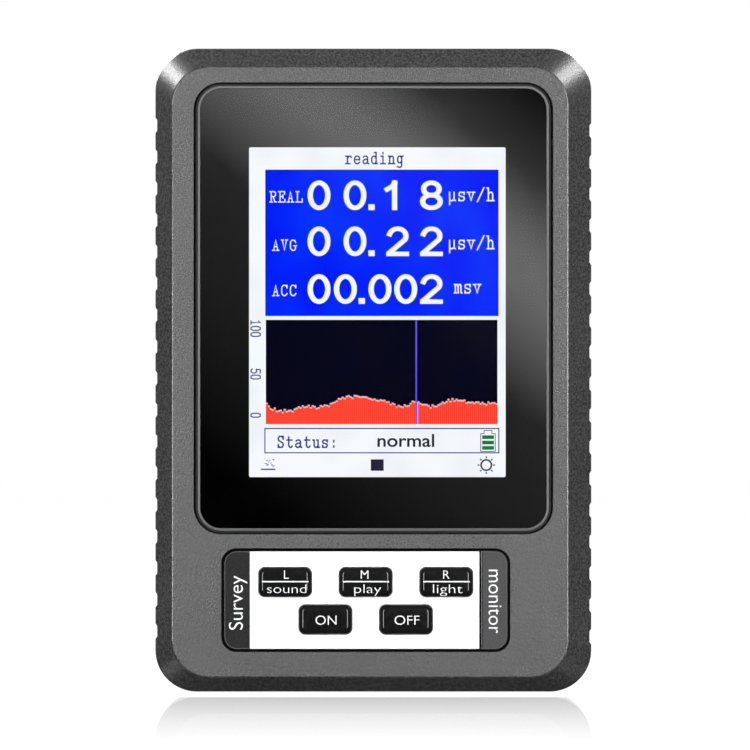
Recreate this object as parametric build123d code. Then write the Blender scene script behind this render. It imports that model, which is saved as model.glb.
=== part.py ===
"""Hand-held Geiger counter with a colour display, five keys and a glass counter tube.

Millimetres. X is to the right seen from the front, Y runs from the front to the back, Z is up.
The origin is under the middle of the body, on the flat that it stands on.
"""

import os
from math import cos, pi, radians, sin, tan

from build123d import *

# ---- driving dimensions: body -------------------------------------------------------------
BODY_WIDTH = 80.0
BODY_HEIGHT = 118.0
KEY_TOP_Y = -13.0          # the keys are the frontmost point
FRONT_Y = -12.5            # flat face round the window
SEAM_Y = 3.0               # where the two housing halves meet
BACK_Y = 13.0
TOP_CORNER_RADIUS = 7.85
BOTTOM_CORNER_RADIUS = 7.6
WALL = 2.0
FRONT_WALL = 3.2
BACK_WALL = 2.2

# ---- bevels ---------------------------------------------------------------------------------
FRONT_BEVEL_SIDE = 3.7     # how far the front face lies inside the outline, left and right
FRONT_BEVEL_END = 3.09     # the same at the top and bottom
FACE_SHIFT = (-0.6, -0.36)  # the face lies off the middle, so the bevel is wider at the right and top
FRONT_BEVEL_DEPTH = 4.0
FACE_CORNER_RADIUS = 7.0
BACK_BEVEL = 3.0
BACK_BEVEL_DEPTH = 3.0
SEAM_CHAMFER = 0.25
FACE_EDGE_RADIUS = 0.45    # where the front face turns into the bevel
SIDE_EDGE_RADIUS = 1.0     # where a bevel turns into the side wall
BACK_EDGE_RADIUS = 0.8

# ---- hollow of the housing and the lip along its seam ---------------------------------------
FRONT_HOLLOW_INSET = (5.6, 5.1)    # sides, ends, just behind the front wall
FRONT_HOLLOW_RADII = (4.0, 4.4)    # top and bottom corners
FRONT_HOLLOW_DEPTH = 3.2           # depth over which the hollow widens to the plain walls
BACK_HOLLOW_TAPER = 2.4
LIP_THICKNESS = 0.9
LIP_DEPTH = 1.2
LIP_CLEARANCE = 0.1

# ---- grip ribs on both side walls -----------------------------------------------------------
RIB_PITCH = 5.8
RIB_COUNT = 17
RIB_FIRST_Z = 10.6
RIB_DEPTH = 0.35
RIB_STAGGER = 0.5          # left ribs stand this much higher and right ones this much lower
RIB_FLOOR = 1.9
RIB_MOUTH = 2.9

# ---- display window -------------------------------------------------------------------------
WINDOW_CENTRE_Z = 70.3
WINDOW_POCKET = (65.8, 82.7)
WINDOW_POCKET_RADIUS = 5.0
WINDOW_POCKET_DEPTH = 1.8
WINDOW_GLASS = (64.3, 81.4)
WINDOW_GLASS_RADIUS = 4.3
WINDOW_GLASS_THICKNESS = 1.5
WINDOW_GLASS_CHAMFER = 0.5
WINDOW_MASK_THICKNESS = 0.1
WINDOW_TAPE_THICKNESS = 0.1

# ---- display module -------------------------------------------------------------------------
SCREEN_X = 0.73
SCREEN_SIZE = (47.0, 60.4)
SCREEN_CENTRE_Z = 69.6
MODULE_SIZE = (53.4, 68.2)
MODULE_CENTRE_Z = 68.5
MODULE_THICKNESS = 2.6
MODULE_FRONT_Y = -10.5
CELL_THICKNESS = 1.4
MODULE_CLEARANCE = 1.2
MODULE_FRAME_WALL = 0.4
MODULE_FRAME_BACK = 0.2
CARRIER_OUTER = (55.0, 70.0)
CARRIER_INNER = (49.0, 63.0)

# ---- keypad ---------------------------------------------------------------------------------
KEYPAD_X = -1.4
KEYPAD_CENTRE_Z = 16.9
PANEL_POCKET = (52.9, 19.0)
PANEL_POCKET_RADIUS = 2.8
PANEL_POCKET_DEPTH = 0.85
PANEL_SIZE = (52.2, 18.3)
PANEL_RADIUS = 2.5
PANEL_THICKNESS = 0.6
PANEL_CHAMFER = 0.2
LABEL_SIZE = (42.4, 17.8)
LABEL_DEPTH = 0.15
KEY_SIZE = (9.6, 5.3)
KEY_RADIUS = 1.1
KEY_GAP = 0.14
KEY_PITCH_X = 14.75
KEY_ROW_Z = (20.2, 13.35)
KEY_EDGE_RADIUS = 0.45
KEY_STEM_RADIUS = 1.5
KEY_WING = 0.9             # how far each retaining wing reaches past the cap
KEY_WING_THICKNESS = 0.8
KEY_PLACES = {
    "sound": (KEYPAD_X - KEY_PITCH_X, KEY_ROW_Z[0]),
    "play": (KEYPAD_X, KEY_ROW_Z[0]),
    "light": (KEYPAD_X + KEY_PITCH_X, KEY_ROW_Z[0]),
    "on": (KEYPAD_X - KEY_PITCH_X / 2, KEY_ROW_Z[1]),
    "off": (KEYPAD_X + KEY_PITCH_X / 2, KEY_ROW_Z[1]),
}

# ---- board and switches -----------------------------------------------------------------------
BOARD_SIZE = (72.0, 108.0)
BOARD_CENTRE_Z = 58.0
BOARD_FRONT_Y = -3.6
BOARD_THICKNESS = 1.6
BOARD_CORNER_NOTCH = (7.0, 10.0)
BOARD_SCREW_PLACES = [(x, z) for x in (-32.0, 32.0) for z in (34.0, 92.0)]
SWITCH_SIDE = 6.0
SWITCH_HEIGHT = 3.5
SWITCH_COVER = 0.3
SWITCH_WELL_DEPTH = 2.2
PLUNGER_RADIUS = 1.7
PLUNGER_COLLAR = 0.3
PLUNGER_TIP = 0.8          # how far the plunger stands out of the switch
DOME_RADIUS = 1.95
DOME_HEIGHT = 1.0
DOME_THICKNESS = 0.12

# ---- what stands on the back of the board --------------------------------------------------------
CHIPS = [                  # x, z, width, height, thickness
    (12.0, 62.0, 10.0, 10.0, 1.4),
    (-4.0, 60.0, 5.0, 6.0, 1.5),
    (16.0, 34.0, 5.0, 4.0, 1.5),
    (-9.0, 34.0, 3.0, 3.0, 1.0),
]
SMALL_PART = (1.2, 2.0, 0.6)
SMALL_PART_ROWS = (50.0, 76.0)
SMALL_PARTS_IN_ROW = 8
SMALL_PART_FIRST_X = -10.0
SMALL_PART_PITCH = 4.2
CONVERTER_PLACE = (-4.0, 101.0)
CONVERTER_CORE = (13.0, 12.0)
CONVERTER_GAP = (8.0, 8.0)
CONVERTER_LIMB = 2.6
DISC_PLACES = [(-14.0, 30.0), (-14.0, 36.0)]
DISC_RADIUS = 3.4
DISC_THICKNESS = 2.4
CAN_PLACE = (27.0, 26.0)
CAN_RADIUS = 3.15
CAN_HEIGHT = 8.0
CRYSTAL_PLACE = (2.0, 42.0)
CRYSTAL_SIZE = (10.5, 3.8)
CRYSTAL_HEIGHT = 3.4

# ---- bosses in the housing --------------------------------------------------------------------
CASE_BOSS_RADIUS = (3.3, 3.9)      # front half, back half
BOARD_BOSS_RADIUS = 2.3
PILOT_FLOOR_Y = -8.0               # where the screw holes in the front half end

# ---- screws -------------------------------------------------------------------------------------
CASE_SCREW_PLACES = [(x, z) for x in (-33.5, 33.5) for z in (8.5, 109.5)]
CASE_SCREW_RADIUS = 1.25
CASE_SCREW_LENGTH = 16.0
CASE_SCREW_HEAD_RADIUS = 2.4
CASE_SCREW_HEAD_HEIGHT = 1.7
CASE_SCREW_HEAD_DEPTH = 1.0    # the head lies this far below the back face
COUNTERBORE_RADIUS = 2.75
BOARD_SCREW_RADIUS = 0.9
BOARD_SCREW_LENGTH = 5.0
BOARD_SCREW_HEAD = (1.7, 1.2)      # radius, height

# ---- counter tube -------------------------------------------------------------------------------
TUBE_X = -25.0
TUBE_Y = 4.6
TUBE_BOTTOM_Z = 16.0
TUBE_LENGTH = 84.0
TUBE_RADIUS = 5.0
TUBE_GLASS_WALL = 0.7
TUBE_SHOULDER = 2.5
TUBE_CAP_LENGTH = 7.0
TUBE_CAP_FLOOR = 1.0
TUBE_CAP_WALL = 0.35
TUBE_CATHODE_INSET = 9.0
TUBE_CLIP_WIDTH = 4.0
TUBE_CLIP_THICKNESS = 0.4

# ---- battery, port and sounder ------------------------------------------------------------------
BATTERY_SIZE = (38.0, 5.6, 50.0)
BATTERY_CENTRE = (8.0, 7.4, 66.0)
PORT_SHELL = (8.94, 3.26)
PORT_SHELL_WALL = 0.3
PORT_DEPTH = 7.35
PORT_INSET = 0.6           # how far the socket's mouth lies inside the bottom wall
PORT_CLEARANCE = 0.3
PORT_LEAD_IN = 0.5
PORT_TONGUE = (6.7, 0.7)
SOUNDER_PLACE = (14.0, 24.0)
SOUNDER_RADIUS = 6.0
SOUNDER_HEIGHT = 8.5
SOUNDER_HOLLOW_RADIUS = 5.2
SOUNDER_FLOOR = 1.0
SOUNDER_COIL_HEIGHT = 3.6
SOUNDER_HOLE_RADIUS = 0.7
SOUNDER_HOLE_PITCH = 2.6

# ---- back of the housing ------------------------------------------------------------------------
SENSOR_SLOT = (10.0, 1.4)
SENSOR_SLOT_COUNT = 12
SENSOR_SLOT_FIRST_Z = 38.0
SENSOR_SLOT_PITCH = 3.6
REAR_LABEL_CENTRE = (8.0, 66.0)
REAR_LABEL = (36.0, 40.0)
REAR_LABEL_RECESS = 0.3
REAR_LABEL_THICKNESS = 0.18

# ---- battery leads -------------------------------------------------------------------------------
HEADER_X = 24.0
HEADER_Z = 102.0
HEADER_HEIGHT = 5.0
PLUG_LENGTH = 5.0
PLUG_X = HEADER_X - 3.4
LEAD_RADIUS = 0.65
LEAD_OFFSETS = {"red": 1.0, "black": -1.0}     # half the spacing, away from the middle

# ---- display ribbon ------------------------------------------------------------------------------
FLEX_WIDTH = 22.0
FLEX_THICKNESS = 0.2
FLEX_TOP_Z = 41.0
FLEX_BOARD_GAP = 0.75

# ---- derived planes -----------------------------------------------------------------------------
WALL_INNER_Y = FRONT_Y + FRONT_WALL
BACK_INNER_Y = BACK_Y - BACK_WALL
POCKET_FLOOR_Y = FRONT_Y + WINDOW_POCKET_DEPTH
GLASS_BACK_Y = POCKET_FLOOR_Y - WINDOW_MASK_THICKNESS - WINDOW_TAPE_THICKNESS
GLASS_FRONT_Y = GLASS_BACK_Y - WINDOW_GLASS_THICKNESS
MASK_BACK_Y = GLASS_BACK_Y + WINDOW_MASK_THICKNESS
MODULE_BACK_Y = MODULE_FRONT_Y + MODULE_THICKNESS
PANEL_FLOOR_Y = FRONT_Y + PANEL_POCKET_DEPTH
PANEL_FRONT_Y = PANEL_FLOOR_Y - PANEL_THICKNESS
BOARD_BACK_Y = BOARD_FRONT_Y + BOARD_THICKNESS
SWITCH_FRONT_Y = BOARD_FRONT_Y - SWITCH_HEIGHT
PLUNGER_TIP_Y = SWITCH_FRONT_Y - PLUNGER_TIP
DOME_CROWN_Y = SWITCH_FRONT_Y + SWITCH_WELL_DEPTH - DOME_HEIGHT
KEY_WING_BACK_Y = WALL_INNER_Y + KEY_WING_THICKNESS
CASE_SCREW_SEAT_Y = BACK_Y - CASE_SCREW_HEAD_DEPTH - CASE_SCREW_HEAD_HEIGHT


# ---- helpers --------------------------------------------------------------------------------------
def slab(sketch, front_y, back_y):
    """Extrudes a sketch drawn in X and Z between two Y planes."""
    plane = Plane(origin=(0, back_y, 0), x_dir=(1, 0, 0), z_dir=(0, -1, 0))
    return extrude(plane * sketch, amount=back_y - front_y)


def block(x, z, width, height, front_y, back_y, radius=0.0):
    """A block centred on x, z, with its upright edges rounded where a radius is given."""
    shape = RectangleRounded(width, height, radius) if radius else Rectangle(width, height)
    return slab(Pos(x, z) * shape, front_y, back_y)


def peg(x, z, radius, front_y, back_y):
    """A round peg along Y."""
    return slab(Pos(x, z) * Circle(radius), front_y, back_y)


def frame_block(x, z, outer, inner, front_y, back_y, radius=0.0, inner_radius=0.0):
    """A flat picture frame: an outer block with an inner one cut away."""
    solid = block(x, z, outer[0], outer[1], front_y, back_y, radius)
    return solid - block(x, z, inner[0], inner[1], front_y - 1, back_y + 1, inner_radius)


def edges_at(solid, y):
    """The edges of a solid that lie in one Y plane."""
    return solid.edges().filter_by_position(Axis.Y, y - 0.01, y + 0.01)


def group(solids):
    """Several separate solids as one node."""
    return Compound(children=[piece for solid in solids for piece in solid.solids()])


# ---- housing ----------------------------------------------------------------------------------------
def body_outline(side_inset, end_inset, top_radius, bottom_radius):
    """The upright rounded outline of the body, drawn in X and Z."""
    width = BODY_WIDTH - 2 * side_inset
    height = BODY_HEIGHT - 2 * end_inset
    sketch = Pos(0, BODY_HEIGHT / 2) * Rectangle(width, height)
    sketch = fillet(sketch.vertices().sort_by(Axis.Y)[:2], bottom_radius)
    return fillet(sketch.vertices().sort_by(Axis.Y)[-2:], top_radius)


def tapered(front_sketch, front_y, back_sketch, back_y):
    """A ruled solid from one outline to another."""
    at_front = Plane(origin=(0, front_y, 0), x_dir=(1, 0, 0), z_dir=(0, -1, 0))
    at_back = Plane(origin=(0, back_y, 0), x_dir=(1, 0, 0), z_dir=(0, -1, 0))
    return loft([at_back * back_sketch, at_front * front_sketch], ruled=True)


def full_outline(inset=0.0):
    return body_outline(inset, inset, TOP_CORNER_RADIUS - inset, BOTTOM_CORNER_RADIUS - inset)


def front_outer():
    """The outside of the front half: flat face, bevel and straight walls."""
    face = body_outline(FRONT_BEVEL_SIDE, FRONT_BEVEL_END, FACE_CORNER_RADIUS, FACE_CORNER_RADIUS)
    face = Pos(*FACE_SHIFT) * face
    bevel_back = FRONT_Y + FRONT_BEVEL_DEPTH
    solid = tapered(face, FRONT_Y, full_outline(), bevel_back)
    solid += slab(full_outline(), bevel_back, SEAM_Y)
    solid = fillet(edges_at(solid, FRONT_Y), FACE_EDGE_RADIUS)
    solid = fillet(edges_at(solid, bevel_back), SIDE_EDGE_RADIUS)
    return chamfer(edges_at(solid, SEAM_Y), SEAM_CHAMFER)


def front_cavity():
    """The hollow behind the front wall, narrower behind the bevel."""
    narrow = body_outline(*FRONT_HOLLOW_INSET, *FRONT_HOLLOW_RADII)
    wide_y = WALL_INNER_Y + FRONT_HOLLOW_DEPTH
    hollow = tapered(narrow, WALL_INNER_Y, full_outline(WALL), wide_y)
    return hollow + slab(full_outline(WALL), wide_y, SEAM_Y + 1)


def rib_cutters():
    """The recesses between the grip ribs, on both side walls."""
    cutters = []
    outside = BODY_WIDTH / 2 + RIB_DEPTH
    spread = 2 * RIB_MOUTH - RIB_FLOOR
    for side in (-1, 1):
        for step in range(RIB_COUNT):
            z = RIB_FIRST_Z + step * RIB_PITCH - side * RIB_STAGGER
            profile = Polygon(
                (side * (BODY_WIDTH / 2 - RIB_DEPTH), z + side * RIB_FLOOR / 2),
                (side * (BODY_WIDTH / 2 - RIB_DEPTH), z - side * RIB_FLOOR / 2),
                (side * BODY_WIDTH / 2, z - side * RIB_MOUTH / 2),
                (side * outside, z - side * spread / 2),
                (side * outside, z + side * spread / 2),
                (side * BODY_WIDTH / 2, z + side * RIB_MOUTH / 2),
                align=None,
            )
            cutters.append(slab(profile, FRONT_Y, BACK_Y))
    return cutters


def key_hole(place):
    gap = 2 * KEY_GAP
    return block(*place, KEY_SIZE[0] + gap, KEY_SIZE[1] + gap, FRONT_Y - 1, 0, KEY_RADIUS + KEY_GAP)


def port_slot(growth):
    """The outline of the charging socket, larger all round by growth."""
    return SlotOverall(PORT_SHELL[0] + 2 * growth, PORT_SHELL[1] + 2 * growth)


def port_plane(z):
    return Plane(origin=(0, BOARD_BACK_Y + PORT_SHELL[1] / 2, z), x_dir=(1, 0, 0), z_dir=(0, 0, 1))


def port_opening():
    """The rounded hole in the bottom wall for the charging plug, widened at its mouth."""
    hole = extrude(port_plane(-1) * port_slot(PORT_CLEARANCE), amount=WALL + 2)
    mouth = port_slot(PORT_CLEARANCE + PORT_LEAD_IN)
    return hole + extrude(port_plane(0) * mouth, amount=PORT_LEAD_IN, taper=45)


def window_recess():
    """The pocket that the window is taped into and the hole for the display behind it."""
    pocket = block(
        0, WINDOW_CENTRE_Z, *WINDOW_POCKET, FRONT_Y - 1, POCKET_FLOOR_Y, WINDOW_POCKET_RADIUS
    )
    hole = [side + MODULE_CLEARANCE for side in MODULE_SIZE]
    return pocket + block(SCREEN_X, MODULE_CENTRE_Z, *hole, FRONT_Y, WALL_INNER_Y + 1, 1.0)


def keypad_recess():
    centre = (KEYPAD_X, KEYPAD_CENTRE_Z)
    return block(*centre, *PANEL_POCKET, FRONT_Y - 1, PANEL_FLOOR_Y, PANEL_POCKET_RADIUS)


def front_bosses():
    """Posts for the case screws and the board screws."""
    case_span = (WALL_INNER_Y - 0.8, SEAM_Y)
    board_span = (WALL_INNER_Y - 0.1, BOARD_FRONT_Y)
    posts = [peg(*place, CASE_BOSS_RADIUS[0], *case_span) for place in CASE_SCREW_PLACES]
    return posts + [peg(*place, BOARD_BOSS_RADIUS, *board_span) for place in BOARD_SCREW_PLACES]


def front_pilots():
    """Blind holes that the screws cut their threads in."""
    case_span = (PILOT_FLOOR_Y, SEAM_Y + 1)
    board_span = (PILOT_FLOOR_Y, BOARD_FRONT_Y + 1)
    holes = [peg(*place, CASE_SCREW_RADIUS, *case_span) for place in CASE_SCREW_PLACES]
    return holes + [peg(*place, BOARD_SCREW_RADIUS, *board_span) for place in BOARD_SCREW_PLACES]


def lip_rebate():
    """The step inside the front half's rim that takes the lip of the back half."""
    inset = WALL - LIP_THICKNESS - LIP_CLEARANCE
    rebate = slab(full_outline(inset), SEAM_Y - LIP_DEPTH - LIP_CLEARANCE, SEAM_Y + 1)
    for place in CASE_SCREW_PLACES:
        rebate -= peg(*place, CASE_BOSS_RADIUS[0], SEAM_Y - 2 * LIP_DEPTH, SEAM_Y + 1)
    return rebate


def front_shell():
    outside = front_outer()
    solid = outside - front_cavity()
    for post in front_bosses():
        solid += post & outside
    solid -= [lip_rebate(), window_recess(), keypad_recess(), port_opening()]
    solid -= front_pilots()
    solid -= [key_hole(place) for place in KEY_PLACES.values()]
    return solid - rib_cutters()


def back_outer():
    bevel_front = BACK_Y - BACK_BEVEL_DEPTH
    rear_face = full_outline(BACK_BEVEL)
    solid = tapered(full_outline(), bevel_front, rear_face, BACK_Y)
    solid += slab(full_outline(), SEAM_Y, bevel_front)
    solid = fillet(edges_at(solid, BACK_Y), BACK_EDGE_RADIUS)
    solid = fillet(edges_at(solid, bevel_front), SIDE_EDGE_RADIUS)
    return chamfer(edges_at(solid, SEAM_Y), SEAM_CHAMFER)


def back_cavity():
    wide_y = BACK_INNER_Y - BACK_HOLLOW_TAPER
    narrow = full_outline(WALL + BACK_HOLLOW_TAPER)
    hollow = tapered(full_outline(WALL), wide_y, narrow, BACK_INNER_Y)
    return hollow + slab(full_outline(WALL), SEAM_Y - 1, wide_y)


def sounder_holes():
    """A middle hole and two rings of small holes over the sounder."""
    holes = [peg(*SOUNDER_PLACE, SOUNDER_HOLE_RADIUS, BACK_INNER_Y - 1, BACK_Y + 1)]
    for ring, count in ((1, 6), (2, 12)):
        for step in range(count):
            angle = 2 * pi * step / count
            x = SOUNDER_PLACE[0] + SOUNDER_HOLE_PITCH * ring * cos(angle)
            z = SOUNDER_PLACE[1] + SOUNDER_HOLE_PITCH * ring * sin(angle)
            holes.append(peg(x, z, SOUNDER_HOLE_RADIUS, BACK_INNER_Y - 1, BACK_Y + 1))
    return holes


def sensor_slots():
    """A ladder of thin slots beside the counter tube."""
    slots = []
    for step in range(SENSOR_SLOT_COUNT):
        z = SENSOR_SLOT_FIRST_Z + SENSOR_SLOT_PITCH * step
        slots.append(slab(Pos(TUBE_X, z) * SlotOverall(*SENSOR_SLOT), BACK_INNER_Y - 1, BACK_Y + 1))
    return slots


def seam_lip():
    """The thin rim of the back half that slides inside the front half."""
    rim = slab(full_outline(WALL - LIP_THICKNESS), SEAM_Y - LIP_DEPTH, SEAM_Y + 0.5)
    rim -= slab(full_outline(WALL), SEAM_Y - 2 * LIP_DEPTH, SEAM_Y + 1)
    for place in CASE_SCREW_PLACES:
        rim -= peg(*place, CASE_BOSS_RADIUS[0] + 0.3, SEAM_Y - 2 * LIP_DEPTH, SEAM_Y)
    return rim


def back_screw_holes():
    """Counterbored clearance holes for the case screws."""
    holes = []
    for place in CASE_SCREW_PLACES:
        holes.append(peg(*place, COUNTERBORE_RADIUS, CASE_SCREW_SEAT_Y, BACK_Y + 1))
        holes.append(peg(*place, CASE_SCREW_RADIUS + 0.2, SEAM_Y - 1, BACK_Y))
    return holes


def rear_label_recess():
    return block(*REAR_LABEL_CENTRE, *REAR_LABEL, BACK_Y - REAR_LABEL_RECESS, BACK_Y + 1, 1.5)


def back_shell():
    outside = back_outer()
    solid = outside - back_cavity() + seam_lip()
    for place in CASE_SCREW_PLACES:
        solid += peg(*place, CASE_BOSS_RADIUS[1], SEAM_Y, BACK_INNER_Y + 1) & outside
    solid -= back_screw_holes() + [rear_label_recess()]
    solid -= sounder_holes() + sensor_slots()
    return solid - rib_cutters()


def rear_label():
    """Blank sticker in its recess on the back."""
    width, height = [side - 0.6 for side in REAR_LABEL]
    front_y = BACK_Y - REAR_LABEL_RECESS
    return block(*REAR_LABEL_CENTRE, width, height, front_y, front_y + REAR_LABEL_THICKNESS, 1.2)


# ---- window and display -------------------------------------------------------------------------
def display_window():
    glass = block(0, WINDOW_CENTRE_Z, *WINDOW_GLASS, GLASS_FRONT_Y, GLASS_BACK_Y, WINDOW_GLASS_RADIUS)
    return chamfer(edges_at(glass, GLASS_FRONT_Y), WINDOW_GLASS_CHAMFER)


def window_mask():
    """The printed black border on the back of the glass."""
    mask = block(0, WINDOW_CENTRE_Z, *WINDOW_GLASS, GLASS_BACK_Y, MASK_BACK_Y, WINDOW_GLASS_RADIUS)
    return mask - block(SCREEN_X, SCREEN_CENTRE_Z, *SCREEN_SIZE, GLASS_BACK_Y - 1, MASK_BACK_Y + 1, 0.3)


def window_tape():
    """Adhesive frame between the window and the floor of its pocket."""
    outer = [side - 1.0 for side in WINDOW_GLASS]
    inner = [side + MODULE_CLEARANCE + 0.6 for side in MODULE_SIZE]
    tape = block(0, WINDOW_CENTRE_Z, *outer, MASK_BACK_Y, POCKET_FLOOR_Y, WINDOW_GLASS_RADIUS - 0.5)
    return tape - block(SCREEN_X, MODULE_CENTRE_Z, *inner, MASK_BACK_Y - 1, POCKET_FLOOR_Y + 1, 1.0)


def display_gasket():
    """Foam frame that keeps dust out between the window and the display."""
    inner = (SCREEN_SIZE[0] + 1.6, SCREEN_SIZE[1] + 1.6)
    foam = block(SCREEN_X, MODULE_CENTRE_Z, *MODULE_SIZE, MASK_BACK_Y, MODULE_FRONT_Y, 0.5)
    return foam - block(SCREEN_X, SCREEN_CENTRE_Z, *inner, MASK_BACK_Y - 1, MODULE_FRONT_Y + 1)


def module_inner():
    return (MODULE_SIZE[0] - 2 * MODULE_FRAME_WALL, MODULE_SIZE[1] - 2 * MODULE_FRAME_WALL)


def display_cell():
    inner = module_inner()
    return block(SCREEN_X, MODULE_CENTRE_Z, *inner, MODULE_FRONT_Y, MODULE_FRONT_Y + CELL_THICKNESS)


def display_backlight():
    inner = module_inner()
    back_y = MODULE_BACK_Y - MODULE_FRAME_BACK
    return block(SCREEN_X, MODULE_CENTRE_Z, *inner, MODULE_FRONT_Y + CELL_THICKNESS, back_y)


def display_frame():
    """Stamped steel tray that holds the cell on the backlight, slotted for the ribbon."""
    tray = block(SCREEN_X, MODULE_CENTRE_Z, *MODULE_SIZE, MODULE_FRONT_Y, MODULE_BACK_Y, 0.5)
    inner = module_inner()
    tray -= block(
        SCREEN_X, MODULE_CENTRE_Z, *inner, MODULE_FRONT_Y - 1, MODULE_BACK_Y - MODULE_FRAME_BACK
    )
    bottom_z = MODULE_CENTRE_Z - MODULE_SIZE[1] / 2
    slot = (FLEX_WIDTH + 1, 2 * MODULE_FRAME_WALL)
    return tray - block(SCREEN_X, bottom_z, *slot, MODULE_FRONT_Y, MODULE_BACK_Y - 0.4)


def display_carrier():
    """Plastic ring that props the display off the board, open at the bottom for the ribbon."""
    centre = (SCREEN_X, MODULE_CENTRE_Z)
    ring = frame_block(*centre, CARRIER_OUTER, CARRIER_INNER, MODULE_BACK_Y, BOARD_FRONT_Y, 1.5, 1.0)
    bottom_z = MODULE_CENTRE_Z - CARRIER_OUTER[1] / 2
    return ring - block(SCREEN_X, bottom_z, FLEX_WIDTH + 2, 8.0, MODULE_BACK_Y - 1, BOARD_FRONT_Y + 1)


def display_flex():
    """Flat ribbon that leaves the bottom of the display and folds back to its connector."""
    start_y = (MODULE_FRONT_Y + CELL_THICKNESS + MODULE_BACK_Y) / 2
    start_z = MODULE_CENTRE_Z - MODULE_SIZE[1] / 2 + MODULE_FRAME_WALL
    return_y = BOARD_FRONT_Y - FLEX_BOARD_GAP
    bend_radius = (return_y - start_y) / 2
    bend_z = start_z - 1.2
    # on this plane x is the object's Y and y is its Z
    plane = Plane(origin=(SCREEN_X - FLEX_WIDTH / 2, 0, 0), x_dir=(0, 1, 0), z_dir=(1, 0, 0))
    lowest = (start_y + bend_radius, bend_z - bend_radius)
    path = Line((start_y, start_z), (start_y, bend_z))
    path += ThreePointArc((start_y, bend_z), lowest, (return_y, bend_z))
    path += Line((return_y, bend_z), (return_y, FLEX_TOP_Z))
    ribbon = trace(path, FLEX_THICKNESS)
    return extrude(plane * ribbon, amount=FLEX_WIDTH)


def flex_connector():
    """Low connector on the front of the board with a slot for the ribbon's end."""
    z = FLEX_TOP_Z + 0.5
    body = block(SCREEN_X, z, FLEX_WIDTH + 3, 5.0, BOARD_FRONT_Y - 1.6, BOARD_FRONT_Y)
    slot_y = BOARD_FRONT_Y - FLEX_BOARD_GAP
    slot = block(SCREEN_X, z - 1.5, FLEX_WIDTH + 0.2, 4.0, slot_y - 0.12, slot_y + 0.12)
    return body - slot


# ---- keypad -----------------------------------------------------------------------------------------
def label_pocket(front_y):
    centre = (KEYPAD_X, KEYPAD_CENTRE_Z)
    return block(*centre, *LABEL_SIZE, front_y, PANEL_FRONT_Y + LABEL_DEPTH)


def keypad_panel():
    """Dark panel glued into its pocket, with a shallow step for the white label."""
    centre = (KEYPAD_X, KEYPAD_CENTRE_Z)
    solid = block(*centre, *PANEL_SIZE, PANEL_FRONT_Y, PANEL_FLOOR_Y, PANEL_RADIUS)
    solid = chamfer(edges_at(solid, PANEL_FRONT_Y), PANEL_CHAMFER)
    solid -= label_pocket(PANEL_FRONT_Y - 1)
    return solid - [key_hole(place) for place in KEY_PLACES.values()]


def key_label():
    """White film round the keys, a hair proud of the panel."""
    return label_pocket(PANEL_FRONT_Y - 0.02) - [key_hole(place) for place in KEY_PLACES.values()]


def key_cap(place):
    """One key: a softened cap, two retaining wings behind the wall and a stem to the switch."""
    cap = block(*place, *KEY_SIZE, KEY_TOP_Y, KEY_WING_BACK_Y, KEY_RADIUS)
    cap = fillet(edges_at(cap, KEY_TOP_Y), KEY_EDGE_RADIUS)
    wings = (KEY_SIZE[0] + 2 * KEY_WING, KEY_SIZE[1] - 1.2)
    cap += block(*place, *wings, WALL_INNER_Y, KEY_WING_BACK_Y)
    return cap + peg(*place, KEY_STEM_RADIUS, KEY_WING_BACK_Y, PLUNGER_TIP_Y)


def switch_plunger(place):
    """The round actuator of one switch; its collar stays under the metal cover."""
    plunger = peg(*place, PLUNGER_RADIUS, PLUNGER_TIP_Y, DOME_CROWN_Y)
    collar_radius = PLUNGER_RADIUS + PLUNGER_COLLAR
    return plunger + peg(*place, collar_radius, SWITCH_FRONT_Y + SWITCH_COVER, DOME_CROWN_Y)


def switch_base(place):
    """Moulded base with a round well for the plunger and the snap dome."""
    body = block(*place, SWITCH_SIDE, SWITCH_SIDE, SWITCH_FRONT_Y + SWITCH_COVER, BOARD_FRONT_Y, 0.4)
    well_radius = PLUNGER_RADIUS + PLUNGER_COLLAR + 0.1
    return body - peg(*place, well_radius, SWITCH_FRONT_Y, SWITCH_FRONT_Y + SWITCH_WELL_DEPTH)


def switch_cover(place):
    cover = block(*place, SWITCH_SIDE, SWITCH_SIDE, SWITCH_FRONT_Y, SWITCH_FRONT_Y + SWITCH_COVER, 0.4)
    return cover - peg(*place, PLUNGER_RADIUS + 0.1, SWITCH_FRONT_Y - 1, SWITCH_FRONT_Y + 1)


def switch_dome(place):
    """Thin sprung disc under the plunger, drawn at rest as a shallow cone."""
    floor_y = SWITCH_FRONT_Y + SWITCH_WELL_DEPTH
    flat = DOME_RADIUS / 2
    outside = [(0, DOME_CROWN_Y), (flat, DOME_CROWN_Y), (DOME_RADIUS, floor_y - DOME_THICKNESS)]
    foot = [(DOME_RADIUS, floor_y), (DOME_RADIUS - 0.2, floor_y)]
    inside = [(flat - 0.1, DOME_CROWN_Y + DOME_THICKNESS), (0, DOME_CROWN_Y + DOME_THICKNESS)]
    dome = revolve(Polygon(*outside, *foot, *inside, align=None), Axis.Y)
    return Pos(place[0], 0, place[1]) * dome


# ---- board --------------------------------------------------------------------------------------------
def main_board():
    width, height = BOARD_SIZE
    board = block(0, BOARD_CENTRE_Z, width, height, BOARD_FRONT_Y, BOARD_BACK_Y, 1.0)
    cut = (BOARD_FRONT_Y - 1, BOARD_BACK_Y + 1)
    notch = [2 * side for side in BOARD_CORNER_NOTCH]
    corners = [(x, BOARD_CENTRE_Z + z) for x in (-width / 2, width / 2) for z in (-height / 2, height / 2)]
    board -= [block(*corner, *notch, *cut) for corner in corners]
    return board - [peg(*place, BOARD_SCREW_RADIUS + 0.2, *cut) for place in BOARD_SCREW_PLACES]


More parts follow.
